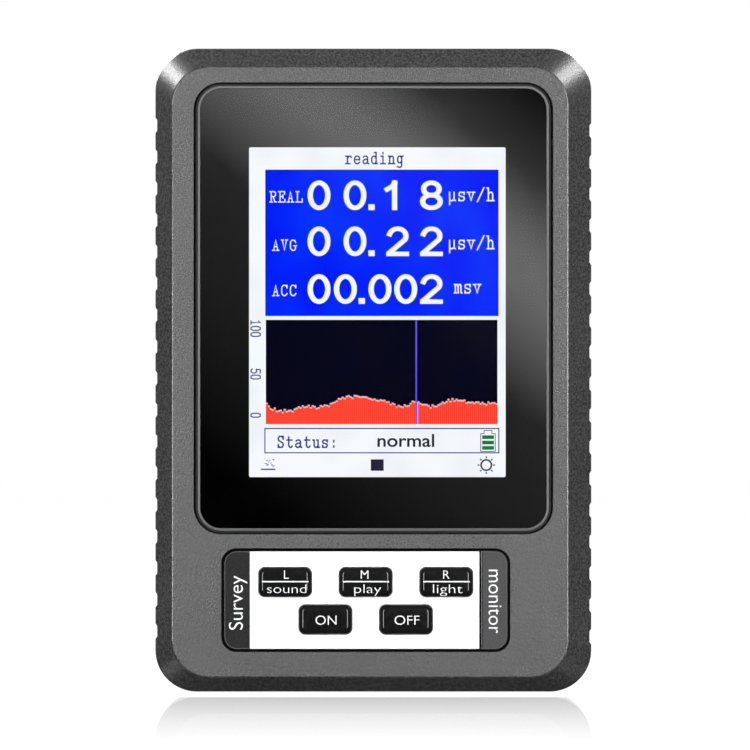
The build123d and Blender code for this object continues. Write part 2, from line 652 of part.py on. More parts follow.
def cross_recess(x, z, top_y, depth, reach, width):
    """A cross-shaped driver recess cut into a screw head whose top is at top_y."""
    bar = block(x, z, 2 * reach, width, top_y - depth, top_y + 1)
    return bar + block(x, z, width, 2 * reach, top_y - depth, top_y + 1)


def screw(place, head_radius, head_height, radius, length, seat_y):
    """A pan-head screw driven from the back: the head stands behind seat_y."""
    top_y = seat_y + head_height
    head = peg(*place, head_radius, seat_y, top_y)
    head = fillet(edges_at(head, top_y), head_height * 0.45)
    shank = peg(*place, radius, seat_y - length, seat_y)
    shank = chamfer(edges_at(shank, seat_y - length), radius * 0.4)
    recess = cross_recess(*place, top_y, head_height * 0.6, head_radius * 0.62, head_radius * 0.24)
    return head + shank - recess


def case_screws():
    head = (CASE_SCREW_HEAD_RADIUS, CASE_SCREW_HEAD_HEIGHT)
    shank = (CASE_SCREW_RADIUS, CASE_SCREW_LENGTH)
    return group([screw(place, *head, *shank, CASE_SCREW_SEAT_Y) for place in CASE_SCREW_PLACES])


def board_screws():
    shank = (BOARD_SCREW_RADIUS, BOARD_SCREW_LENGTH)
    return group([screw(place, *BOARD_SCREW_HEAD, *shank, BOARD_BACK_Y) for place in BOARD_SCREW_PLACES])


def chips():
    """The controller, memory, charger and supply chips on the back of the board."""
    packages = []
    for x, z, width, height, thickness in CHIPS:
        packages.append(block(x, z, width, height, BOARD_BACK_Y, BOARD_BACK_Y + thickness, 0.2))
    return group(packages)


def small_parts():
    """Chip resistors and capacitors, in two rows."""
    pieces = []
    for row_z in SMALL_PART_ROWS:
        for step in range(SMALL_PARTS_IN_ROW):
            x = SMALL_PART_FIRST_X + SMALL_PART_PITCH * step
            pieces.append(block(x, row_z, *SMALL_PART[:2], BOARD_BACK_Y, BOARD_BACK_Y + SMALL_PART[2]))
    return group(pieces)


def converter_core():
    """Ferrite of the high-voltage transformer: a frame with a middle limb."""
    front_y, back_y = BOARD_BACK_Y + 1.5, BOARD_BACK_Y + 6.0
    frame = frame_block(*CONVERTER_PLACE, CONVERTER_CORE, CONVERTER_GAP, front_y, back_y)
    return frame + block(*CONVERTER_PLACE, CONVERTER_LIMB, CONVERTER_GAP[1], front_y, back_y)


def converter_winding():
    """Wound bobbin round the middle limb, standing on the board."""
    width, height = CONVERTER_GAP[0] - 0.4, CONVERTER_GAP[1] - 1.0
    outer = block(*CONVERTER_PLACE, width, height, BOARD_BACK_Y, BOARD_BACK_Y + 6.8, 1.6)
    bore_y = (BOARD_BACK_Y + 1.4, BOARD_BACK_Y + 6.1)
    return outer - block(*CONVERTER_PLACE, CONVERTER_LIMB + 0.2, height + 2, *bore_y)


def capacitors():
    """Two high-voltage disc capacitors on their leads and one upright electrolytic can."""
    pieces = []
    for x, z in DISC_PLACES:
        disc = Pos(x, BOARD_BACK_Y + DISC_RADIUS + 1.0, z) * Cylinder(DISC_RADIUS, DISC_THICKNESS)
        pieces.append(disc + block(x, z, 3.0, 0.6, BOARD_BACK_Y, BOARD_BACK_Y + 2.0))
    top_y = BOARD_BACK_Y + CAN_HEIGHT
    can = peg(*CAN_PLACE, CAN_RADIUS, BOARD_BACK_Y, top_y)
    pieces.append(fillet(edges_at(can, top_y), 0.5))
    return group(pieces)


def crystal_can():
    top_y = BOARD_BACK_Y + CRYSTAL_HEIGHT
    can = slab(Pos(*CRYSTAL_PLACE) * SlotOverall(*CRYSTAL_SIZE), BOARD_BACK_Y, top_y)
    return fillet(edges_at(can, top_y), 0.4)


# ---- counter tube -----------------------------------------------------------------------------------
def turned(profile):
    """Revolves an (r, z) outline about the counter tube's upright axis."""
    plane = Plane(origin=(TUBE_X, TUBE_Y, TUBE_BOTTOM_Z), x_dir=(1, 0, 0), z_dir=(0, -1, 0))
    axis = Axis((TUBE_X, TUBE_Y, TUBE_BOTTOM_Z), (0, 0, 1))
    return revolve(plane * Polygon(*profile, align=None), axis)


def tube_envelope():
    """Thin glass envelope with sloping shoulders and closed ends."""
    half = [(0, TUBE_CAP_FLOOR), (TUBE_RADIUS - 2, TUBE_CAP_FLOOR)]
    half += [(TUBE_RADIUS, TUBE_CAP_FLOOR + TUBE_SHOULDER)]
    inner_end = TUBE_CAP_FLOOR + TUBE_GLASS_WALL
    inner_radius = TUBE_RADIUS - TUBE_GLASS_WALL
    inner_half = [(inner_radius, TUBE_CAP_FLOOR + TUBE_SHOULDER)]
    inner_half += [(TUBE_RADIUS - 2.3, inner_end), (0, inner_end)]
    mirrored = [(r, TUBE_LENGTH - z) for r, z in reversed(half)]
    mirrored += [(r, TUBE_LENGTH - z) for r, z in reversed(inner_half)]
    return turned(half + mirrored + inner_half)


def tube_cathode():
    """Thin metal sleeve lining the glass."""
    outer = TUBE_RADIUS - TUBE_GLASS_WALL
    inner = outer - 0.2
    low, high = TUBE_CATHODE_INSET, TUBE_LENGTH - TUBE_CATHODE_INSET
    return turned([(inner, low), (outer, low), (outer, high), (inner, high)])


def tube_anode():
    """Straight wire on the axis, from one closed end of the glass to the other."""
    low = TUBE_CAP_FLOOR + TUBE_GLASS_WALL
    high = TUBE_LENGTH - low
    return turned([(0, low), (0.25, low), (0.25, high), (0, high)])


def tube_caps():
    """Turned metal cups over both ends of the glass."""
    inner = TUBE_RADIUS
    outer = inner + TUBE_CAP_WALL
    cup = [(0, 0), (outer - 0.4, 0), (outer, 0.4), (outer, TUBE_CAP_LENGTH)]
    cup += [(inner, TUBE_CAP_LENGTH), (inner, TUBE_CAP_FLOOR), (0, TUBE_CAP_FLOOR)]
    return group([turned(cup), turned([(r, TUBE_LENGTH - z) for r, z in cup])])


def tube_clip(z):
    """One spring clip: an open ring round a cap, on a foot soldered to the board."""
    inner = TUBE_RADIUS + TUBE_CAP_WALL
    outer = inner + TUBE_CLIP_THICKNESS
    centre = Pos(TUBE_X, TUBE_Y, z)
    ring = centre * (Cylinder(outer, TUBE_CLIP_WIDTH) - Cylinder(inner, TUBE_CLIP_WIDTH + 1))
    ring -= Pos(TUBE_X, TUBE_Y + outer, z) * Box(6.4, 2 * outer - 2, TUBE_CLIP_WIDTH + 1)
    reach = TUBE_Y - BOARD_BACK_Y
    foot = Pos(TUBE_X, BOARD_BACK_Y + reach / 2, z) * Box(5.0, reach, TUBE_CLIP_WIDTH)
    return ring + (foot - centre * Cylinder(inner + 0.2, TUBE_CLIP_WIDTH + 1))


def tube_clips():
    inset = TUBE_CAP_LENGTH / 2
    return group([tube_clip(TUBE_BOTTOM_Z + z) for z in (inset, TUBE_LENGTH - inset)])


# ---- power, port and sounder -------------------------------------------------------------------------
def battery_cell():
    width, depth, height = BATTERY_SIZE
    cell = Pos(*BATTERY_CENTRE) * Box(width, depth, height)
    return fillet(cell.edges().filter_by(Axis.Z), 2.0)


def battery_pad():
    """Foam pad that presses the cell off the back wall."""
    x, y, z = BATTERY_CENTRE
    return block(x, z, 26.0, 38.0, y + BATTERY_SIZE[1] / 2, BACK_INNER_Y, 1.0)


def battery_header():
    """Board socket, open towards the left, where the battery plug goes in."""
    front_y, back_y = BOARD_BACK_Y, BOARD_BACK_Y + HEADER_HEIGHT
    body = block(HEADER_X, HEADER_Z, 7.0, 6.8, front_y, back_y)
    return body - block(HEADER_X - 1.2, HEADER_Z, 7.0, 5.4, front_y + 0.8, back_y - 0.8)


def battery_plug():
    front_y, back_y = BOARD_BACK_Y + 0.8, BOARD_BACK_Y + HEADER_HEIGHT - 0.8
    return block(PLUG_X, HEADER_Z, PLUG_LENGTH, 5.2, front_y, back_y, 0.3)


def battery_lead(offset):
    """One insulated lead, from the top of the cell to the plug."""
    x, y, z = BATTERY_CENTRE
    top_z = z + BATTERY_SIZE[2] / 2
    plug_y = BOARD_BACK_Y + HEADER_HEIGHT / 2
    plug_end_x = PLUG_X - PLUG_LENGTH / 2
    route = [
        (x - offset, y, top_z),
        (x - offset, y, top_z + 4.0 + offset),
        (x + 2.2 - 0.4 * offset, 4.0, top_z + 8.2 + offset),
        (plug_end_x - 4.1, plug_y, HEADER_Z + offset),
        (plug_end_x, plug_y, HEADER_Z + offset),
    ]
    path = FilletPolyline(*route, radius=bend_radii(route))
    start = Plane(origin=path @ 0, z_dir=path % 0)
    return sweep(start * Circle(LEAD_RADIUS), path=path)


def bend_radii(route):
    """The largest bend that each corner of a route has room for."""
    radii = []
    for before, here, after in zip(route, route[1:], route[2:]):
        arriving = Vector(*here) - Vector(*before)
        leaving = Vector(*after) - Vector(*here)
        half_turn = radians(arriving.get_angle(leaving)) / 2
        radii.append(0.45 * min(arriving.length, leaving.length) / tan(half_turn))
    return radii


def port_shell():
    """Drawn steel shell of the charging socket, closed at its inner end."""
    outer = extrude(port_plane(PORT_INSET) * port_slot(0), amount=PORT_DEPTH)
    inner = extrude(port_plane(PORT_INSET) * port_slot(-PORT_SHELL_WALL), amount=PORT_DEPTH - 0.8)
    return outer - inner


def port_tongue():
    """The contact tongue, standing on the shell's closed end."""
    start = PORT_INSET + 0.9
    return extrude(port_plane(start) * Rectangle(*PORT_TONGUE), amount=PORT_DEPTH - 0.8 - 0.9)


def sounder_case():
    """Moulded can with a floor, a hole in its lid and a hollow for the coil and disc."""
    top_y = BOARD_BACK_Y + SOUNDER_HEIGHT
    case = peg(*SOUNDER_PLACE, SOUNDER_RADIUS, BOARD_BACK_Y, top_y)
    case = fillet(edges_at(case, top_y), 0.5)
    case -= peg(*SOUNDER_PLACE, SOUNDER_HOLLOW_RADIUS, BOARD_BACK_Y + SOUNDER_FLOOR, top_y - 0.8)
    return case - peg(*SOUNDER_PLACE, 1.1, top_y - 1.5, top_y + 1)


def sounder_disc():
    """The thin metal disc that the sounder's coil drives."""
    front_y = BOARD_BACK_Y + SOUNDER_FLOOR + SOUNDER_COIL_HEIGHT + 0.6
    return peg(*SOUNDER_PLACE, SOUNDER_HOLLOW_RADIUS, front_y, front_y + 0.2)


def sounder_coil():
    front_y = BOARD_BACK_Y + SOUNDER_FLOOR
    return peg(*SOUNDER_PLACE, SOUNDER_RADIUS / 2, front_y, front_y + SOUNDER_COIL_HEIGHT)


# ---- the whole assembly ----------------------------------------------------------------------------
def make_nodes():
    places = KEY_PLACES.values()
    nodes = {
        "front_shell": front_shell(),
        "back_shell": back_shell(),
        "case_screws": case_screws(),
        "rear_label": rear_label(),
        "display_window": display_window(),
        "window_mask": window_mask(),
        "window_tape": window_tape(),
        "display_gasket": display_gasket(),
        "display_cell": display_cell(),
        "display_backlight": display_backlight(),
        "display_frame": display_frame(),
        "display_carrier": display_carrier(),
        "display_flex": display_flex(),
        "flex_connector": flex_connector(),
        "keypad_panel": keypad_panel(),
        "key_label": key_label(),
        "switch_bases": group([switch_base(place) for place in places]),
        "switch_covers": group([switch_cover(place) for place in places]),
        "main_board": main_board(),
        "board_screws": board_screws(),
        "chips": chips(),
        "small_parts": small_parts(),
        "converter_core": converter_core(),
        "converter_winding": converter_winding(),
        "capacitors": capacitors(),
        "crystal_can": crystal_can(),
        "tube_envelope": tube_envelope(),
        "tube_cathode": tube_cathode(),
        "tube_anode": tube_anode(),
        "tube_caps": tube_caps(),
        "tube_clips": tube_clips(),
        "battery_cell": battery_cell(),
        "battery_pad": battery_pad(),
        "battery_header": battery_header(),
        "battery_plug": battery_plug(),
        "port_shell": port_shell(),
        "port_tongue": port_tongue(),
        "sounder_case": sounder_case(),
        "sounder_disc": sounder_disc(),
        "sounder_coil": sounder_coil(),
    }
    for colour, offset in LEAD_OFFSETS.items():
        nodes[f"battery_lead_{colour}"] = battery_lead(offset)
    for name, place in KEY_PLACES.items():
        nodes[f"key_{name}"] = key_cap(place)
        nodes[f"plunger_{name}"] = switch_plunger(place)
        nodes[f"dome_{name}"] = switch_dome(place)
    return nodes


os.makedirs("parts", exist_ok=True)
for node_name, shape in make_nodes().items():
    export_step(shape, f"parts/{node_name}.step")
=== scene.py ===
"""Looks of the hand-held Geiger counter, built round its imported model.

Sizes written as plain numbers are millimetres, on the model's own axes: x to the right seen
from the front, z up from the flat that the counter stands on, y from the front to the back.
"""

import math

import bmesh
import bpy
from bpy.props import FloatProperty, FloatVectorProperty, IntProperty, PointerProperty
from mathutils import Matrix, Vector


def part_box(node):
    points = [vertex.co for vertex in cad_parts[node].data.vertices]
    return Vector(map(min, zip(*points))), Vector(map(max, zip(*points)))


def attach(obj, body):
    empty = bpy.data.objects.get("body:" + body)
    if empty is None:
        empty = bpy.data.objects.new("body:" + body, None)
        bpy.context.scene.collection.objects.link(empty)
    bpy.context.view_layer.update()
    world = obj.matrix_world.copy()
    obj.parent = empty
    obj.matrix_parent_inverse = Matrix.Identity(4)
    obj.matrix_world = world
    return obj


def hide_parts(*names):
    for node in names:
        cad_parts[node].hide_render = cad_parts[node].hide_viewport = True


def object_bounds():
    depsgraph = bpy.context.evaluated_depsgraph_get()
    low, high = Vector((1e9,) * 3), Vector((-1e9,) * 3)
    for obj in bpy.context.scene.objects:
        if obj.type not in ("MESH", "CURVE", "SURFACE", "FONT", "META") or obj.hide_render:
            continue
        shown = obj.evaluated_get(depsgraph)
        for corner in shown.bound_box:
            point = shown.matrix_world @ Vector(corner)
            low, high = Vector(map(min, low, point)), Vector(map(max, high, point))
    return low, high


bl_info = {
    "name": "Geiger counter looks",
    "version": (1, 0, 0),
    "blender": (4, 5, 0),
    "location": "3D View > Sidebar > Counter",
    "description": "Builds the finishes, screen, keys and stage of a hand-held Geiger counter",
    "category": "Object",
}

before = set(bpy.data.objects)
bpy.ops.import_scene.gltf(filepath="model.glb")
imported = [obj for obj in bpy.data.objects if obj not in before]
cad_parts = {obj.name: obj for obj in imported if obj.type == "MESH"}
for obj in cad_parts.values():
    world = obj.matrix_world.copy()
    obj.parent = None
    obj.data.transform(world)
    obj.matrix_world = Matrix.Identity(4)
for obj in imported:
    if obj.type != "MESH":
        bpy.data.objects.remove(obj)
cad_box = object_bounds()

MM = 0.001


# ---- places read from the model ---------------------------------------------------------------
def node_box(node):
    """Lowest and highest corner of a node, in millimetres."""
    low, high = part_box(node)
    return low / MM, high / MM


def node_centre(node):
    low, high = node_box(node)
    return (low + high) / 2


GLASS_LOW, GLASS_HIGH = node_box("display_window")
CELL_LOW, CELL_HIGH = node_box("display_cell")
PANEL_LOW, PANEL_HIGH = node_box("keypad_panel")
LABEL_LOW, LABEL_HIGH = node_box("key_label")
SCREEN_WIDTH = 47.0                       # the part of the cell that the mask leaves open
SCREEN_HEIGHT = 60.4
SCREEN_LEFT = (CELL_LOW.x + CELL_HIGH.x) / 2 - SCREEN_WIDTH / 2
SCREEN_TOP = (CELL_LOW.z + CELL_HIGH.z) / 2 + 1.1 + SCREEN_HEIGHT / 2
SCREEN_Y = CELL_LOW.y
KEY_NAMES = ("sound", "play", "light", "on", "off")


def on_screen(across, down):
    """A point of the screen, from its top left corner, as x and z."""
    return SCREEN_LEFT + across, SCREEN_TOP - down


# ---- colours ----------------------------------------------------------------------------------
def linear(value):
    """A display value from 0 to 255 as light."""
    value /= 255
    return value / 12.92 if value <= 0.04045 else ((value + 0.055) / 1.055) ** 2.4


def colour(red, green=None, blue=None):
    """A colour given as display values, or a grey given as one."""
    green = red if green is None else green
    blue = red if blue is None else blue
    return linear(red), linear(green), linear(blue), 1.0


def colour_setting(name, description, *value):
    return FloatVectorProperty(
        name=name, description=description, subtype="COLOR", size=4, min=0, max=1, default=colour(*value)
    )


def length_setting(name, description, millimetres):
    return FloatProperty(
        name=name, description=description, unit="LENGTH", subtype="DISTANCE", min=0, default=millimetres * MM
    )


# ---- settings ---------------------------------------------------------------------------------
class StageSettings(bpy.types.PropertyGroup):
    floor_side: length_setting("Floor", "Side of the square floor", 6000)
    key_power: FloatProperty(name="Front lamps",
                             description="Power of each lamp in front", unit="POWER", default=7.2)
    side_power: FloatProperty(name="Side lamps",
                              description="Power of each raised side lamp", unit="POWER", default=4.5)
    low_power: FloatProperty(name="Low lamps",
                             description="Power of each low side lamp", unit="POWER", default=0.1)
    back_power: FloatProperty(name="Back lamps",
                              description="Power of each lamp behind", unit="POWER", default=20)
    ambient: FloatProperty(name="Room light", description="Soft light from all round", min=0, default=0.12)
    room_shine: FloatProperty(name="Room shine",
                              description="How bright the room is in gloss", min=0, default=0.12)


class HousingSettings(bpy.types.PropertyGroup):
    plastic: colour_setting("Plastic", "Colour of the housing", 67)
    speck: colour_setting("Specks", "Colour of the dark specks", 30)
    grain: length_setting("Grain", "Size of the sandy mould grain", 0.42)
    relief: length_setting("Relief", "Depth of the sandy mould grain", 0.028)


class WindowSettings(bpy.types.PropertyGroup):
    corner: length_setting("Corner", "Corner radius of the window", 4.3)
    edge: length_setting("Ground edge", "Width of the ground edge", 0.44)
    glass: colour_setting("Glass", "Tint of the glass", 255)
    ground: colour_setting("Ground glass", "Colour of the ground edge", 112, 113, 114)
    border: colour_setting("Border print", "Colour of the print behind the glass", 2, 2, 3)


class ScreenSettings(bpy.types.PropertyGroup):
    paper: colour_setting("Background", "Light part of the picture", 246, 250, 255)
    reading: colour_setting("Reading panel", "Ground of the three readings", 0, 0, 246)
    graph: colour_setting("Graph", "Ground of the graph", 4, 4, 20)
    bars: colour_setting("Bars", "Bars of the graph", 255, 48, 30)
    tips: colour_setting("Bar tips", "Tip of each bar", 255, 150, 150)
    cursor: colour_setting("Cursor", "Line that marks the present value", 82, 74, 235)
    ink: colour_setting("Ink", "Dark blue of lines and small words", 34, 42, 122)
    black_ink: colour_setting("Black ink", "Black of the status word", 22, 22, 46)
    charge: colour_setting("Charge", "Green of the battery bars", 18, 112, 52)
    bar_count: IntProperty(name="Bars", description="Number of bars in the graph", min=2, default=116)
    bar_wander: length_setting("Bar wander", "How far one bar differs from the next", 0.28)
    dot_count: IntProperty(name="Dots", description="Dots in the cloud of the left icon", min=1, default=16)
    seed: IntProperty(name="Seed", description="Fixes the bars and the cloud of dots", default=7)


class KeypadSettings(bpy.types.PropertyGroup):
    film: colour_setting("Film", "Dark end of the keypad film", 16, 16, 17)
    # Painted reflection: this paler tone at the film's right end stands in for a reflection; the film itself
    # is dark at both ends.
    film_painted_reflection: colour_setting("Pale film", "Right end of the keypad film", 66, 66, 67)
    label: colour_setting("Label", "White field round the keys", 252)
    lettering: colour_setting("Lettering", "Words and signs on film and keys", 246)


class KeySettings(bpy.types.PropertyGroup):
    cap: colour_setting("Cap", "Colour of the key caps", 20, 20, 21)
    slope: length_setting("Slope", "Width of the sloping edge of a cap", 0.62)
    crown: length_setting("Crown", "How far the middle of a cap stands above its edge", 0.03)


class ScrewSettings(bpy.types.PropertyGroup):
    head: length_setting("Head", "Radius of a case screw's head", 2.4)
    thread: length_setting("Thread", "Pitch of a case screw's thread", 1.0)
    zinc: colour_setting("Zinc", "Colour of the plated steel", 172, 172, 176)
    seed: IntProperty(name="Seed", description="Fixes how far each screw is turned", default=3)


SETTINGS = {
    "counter_stage": StageSettings,
    "counter_housing": HousingSettings,
    "counter_window": WindowSettings,
    "counter_screen": ScreenSettings,
    "counter_keypad": KeypadSettings,
    "counter_keys": KeySettings,
    "counter_screws": ScrewSettings,
}


# ---- outlines in x and z ----------------------------------------------------------------------
def rounded(x, z, width, height, radius, steps=8):
    """Outline of a rectangle with round corners, about its middle."""
    points = []
    for side_x, side_z, start in ((1, 1, 0), (-1, 1, 90), (-1, -1, 180), (1, -1, 270)):
        middle = Vector((x + side_x * (width / 2 - radius), z + side_z * (height / 2 - radius)))
        for step in range(steps + 1):
            angle = math.radians(start + 90 * step / steps)
            points.append(middle + radius * Vector((math.cos(angle), math.sin(angle))))
    return points


def oval(x, z, width, height, steps=36):
    turn = 2 * math.pi / steps
    return [
        Vector((x + width / 2 * math.cos(turn * step), z + height / 2 * math.sin(turn * step)))
        for step in range(steps)
    ]


def box_outline(left, bottom, right, top):
    return [Vector(point) for point in ((left, bottom), (right, bottom), (right, top), (left, top))]


# ---- solids in y ------------------------------------------------------------------------------
def ring_of_points(solid, outline, y):
    return [solid.verts.new((point.x * MM, y * MM, point.y * MM)) for point in outline]


def bridge(solid, one, other, closed=True, slot=0):
    """Joins two rows of points with a band of faces."""
    for here in range(len(one) if closed else len(one) - 1):
        after = (here + 1) % len(one)
        solid.faces.new((one[here], one[after], other[after], other[here])).material_index = slot


def plate(solid, outline, front_y, back_y, slot=0):
    """A flat plate with any outline."""
    front, back = ring_of_points(solid, outline, front_y), ring_of_points(solid, outline, back_y)
    bridge(solid, front, back, slot=slot)
    solid.faces.new(front).material_index = slot
    solid.faces.new(back).material_index = slot


def hoop(solid, outer, inner, front_y, back_y, slot=0):
    """A flat ring between two outlines with the same number of points."""
    rows = [ring_of_points(solid, outline, y) for outline, y in
            ((outer, front_y), (outer, back_y), (inner, back_y), (inner, front_y))]
    for here in range(4):
        bridge(solid, rows[here], rows[(here + 1) % 4], slot=slot)


def sides_of(path, half_width, half_height, closed=False):
    """Both sides of a pen line along a path; the pen may be wider than it is high."""
    left, right = [], []
    count = len(path)
    for here, point in enumerate(path):
        before = path[here - 1] if here or closed else None
        after = path[(here + 1) % count] if here < count - 1 or closed else None
        into = (point - before).normalized() if before is not None else (after - point).normalized()
        out = (after - point).normalized() if after is not None else into
        across = Vector((-into.y - out.y, into.x + out.x))
        across = across.normalized() if across.length > 0.01 else Vector((-into.y, into.x))
        reach = 1 / max(0.6, across.dot(Vector((-into.y, into.x))))
        offset = Vector((across.x * half_width, across.y * half_height)) * reach
        end = Vector((0, 0))
        if before is None:
            end = Vector((-out.x * half_width, -out.y * half_height))
        if after is None:
            end = Vector((into.x * half_width, into.y * half_height))
        left.append(point + offset + end)
        right.append(point - offset + end)
    return left, right


def pen_line(solid, path, width, front_y, back_y, height=None, closed=False, slot=0):
    """A raised line along a path of points."""
    path = [Vector(point) for point in path]
    left, right = sides_of(path, width / 2, (height or width) / 2, closed)
    if closed:
        hoop(solid, left, right, front_y, back_y, slot)
    else:
        plate(solid, left + right[::-1], front_y, back_y, slot)


def stack(solid, layers, slots=None):
    """A closed solid through several outlines, each with its own y, from the back to the front."""
    rows = [ring_of_points(solid, outline, y) for outline, y in layers]
    slots = slots or [0] * (len(rows) + 1)
    solid.faces.new(rows[0]).material_index = slots[0]
    for here in range(len(rows) - 1):
        bridge(solid, rows[here], rows[here + 1], slot=slots[here + 1])
    solid.faces.new(rows[-1]).material_index = slots[-1]


def turned(solid, x, z, profile, steps=32):
    """A turned solid about a line along y. The profile goes from one end to the other as radius, y."""
    rows = [ring_of_points(solid, oval(x, z, 2 * radius, 2 * radius, steps), y) for radius, y in profile]
    for here in range(len(rows) - 1):
        bridge(solid, rows[here], rows[here + 1])
    solid.faces.new(rows[0])
    solid.faces.new(rows[-1])


def mesh_from(name, solid, smooth=None):
    """Closes a solid as a mesh, with its faces outwards and rounded ones shaded smooth."""
    bmesh.ops.recalc_face_normals(solid, faces=solid.faces)
    mesh = bpy.data.meshes.new(name)
    solid.to_mesh(mesh)
    solid.free()
    if smooth is not None:
        mesh.shade_smooth()
        mesh.set_sharp_from_angle(angle=math.radians(smooth))
    return mesh


def finished_piece(name, mesh, finishes, body="housing", stands_for=()):
    """Puts a mesh in the scene as a piece of the counter."""
    piece = bpy.data.objects.new(name, mesh)
    bpy.context.scene.collection.objects.link(piece)
    if mesh.materials:
        mesh.materials.clear()
    for finish in finishes:
        mesh.materials.append(finish)
    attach(piece, body)
    if stands_for:
        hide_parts(*stands_for)
    return piece


def dress(nodes, finish):
    """Gives nodes of the model their finish."""
    for name in nodes.split():
        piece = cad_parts.get(name)
        if piece is None:
            raise RuntimeError(f"the model has no node named {name}")
        for place in piece.material_slots:
            place.material = finish


# ---- lettering --------------------------------------------------------------------------------
CAPITAL_RISE = 0.729                      # height of a capital in this typeface, of its size
SMALL_RISE = 0.56                         # height given to a small x in this typeface, of its size


def set_words(text, middle, height, width=None, weight=0.0, front_y=0.0, depth=0.02, turn=0.0, rise=0.0):
    """Words in the plain typeface as a solid, sized by the height of their capitals or small letters.

    middle is the point under the words' middle on their baseline, and weight thickens the strokes.
    rise is the share of the letter size that height stands for: a capital's when none is given.
    """
    letter = bpy.data.curves.new("letters", "FONT")
    letter.body, letter.size, letter.resolution_u = text, 1.0, 6
    letter.offset = weight
    letter.extrude = 0.5
    carrier = bpy.data.objects.new("letters", letter)
    bpy.context.scene.collection.objects.link(carrier)
    graph = bpy.context.evaluated_depsgraph_get()
    mesh = bpy.data.meshes.new_from_object(carrier.evaluated_get(graph))
    bpy.data.objects.remove(carrier)
    across = [vertex.co.x for vertex in mesh.vertices]
    scale = height / (rise or CAPITAL_RISE)
    stretch = width / (max(across) - min(across)) if width else scale
    centre = (max(across) + min(across)) / 2
    lay = Matrix.Diagonal((stretch, scale, depth, 1)) @ Matrix.Translation((-centre, 0, 0))
    lay = Matrix.Rotation(math.radians(turn), 4, "Z") @ lay
    lay = Matrix.Rotation(math.radians(90), 4, "X") @ lay
    lay = Matrix.Translation((middle[0], front_y + depth / 2, middle[1])) @ lay
    mesh.transform(Matrix.Scale(MM, 4) @ lay)
    solid = bmesh.new()
    solid.from_mesh(mesh)
    bmesh.ops.remove_doubles(solid, verts=solid.verts, dist=1e-8)
    bpy.data.meshes.remove(mesh)
    return solid


def gather(target, source):
    """Adds one solid to another."""
    mesh = bpy.data.meshes.new("part")
    source.to_mesh(mesh)
    source.free()
    target.from_mesh(mesh)
    bpy.data.meshes.remove(mesh)


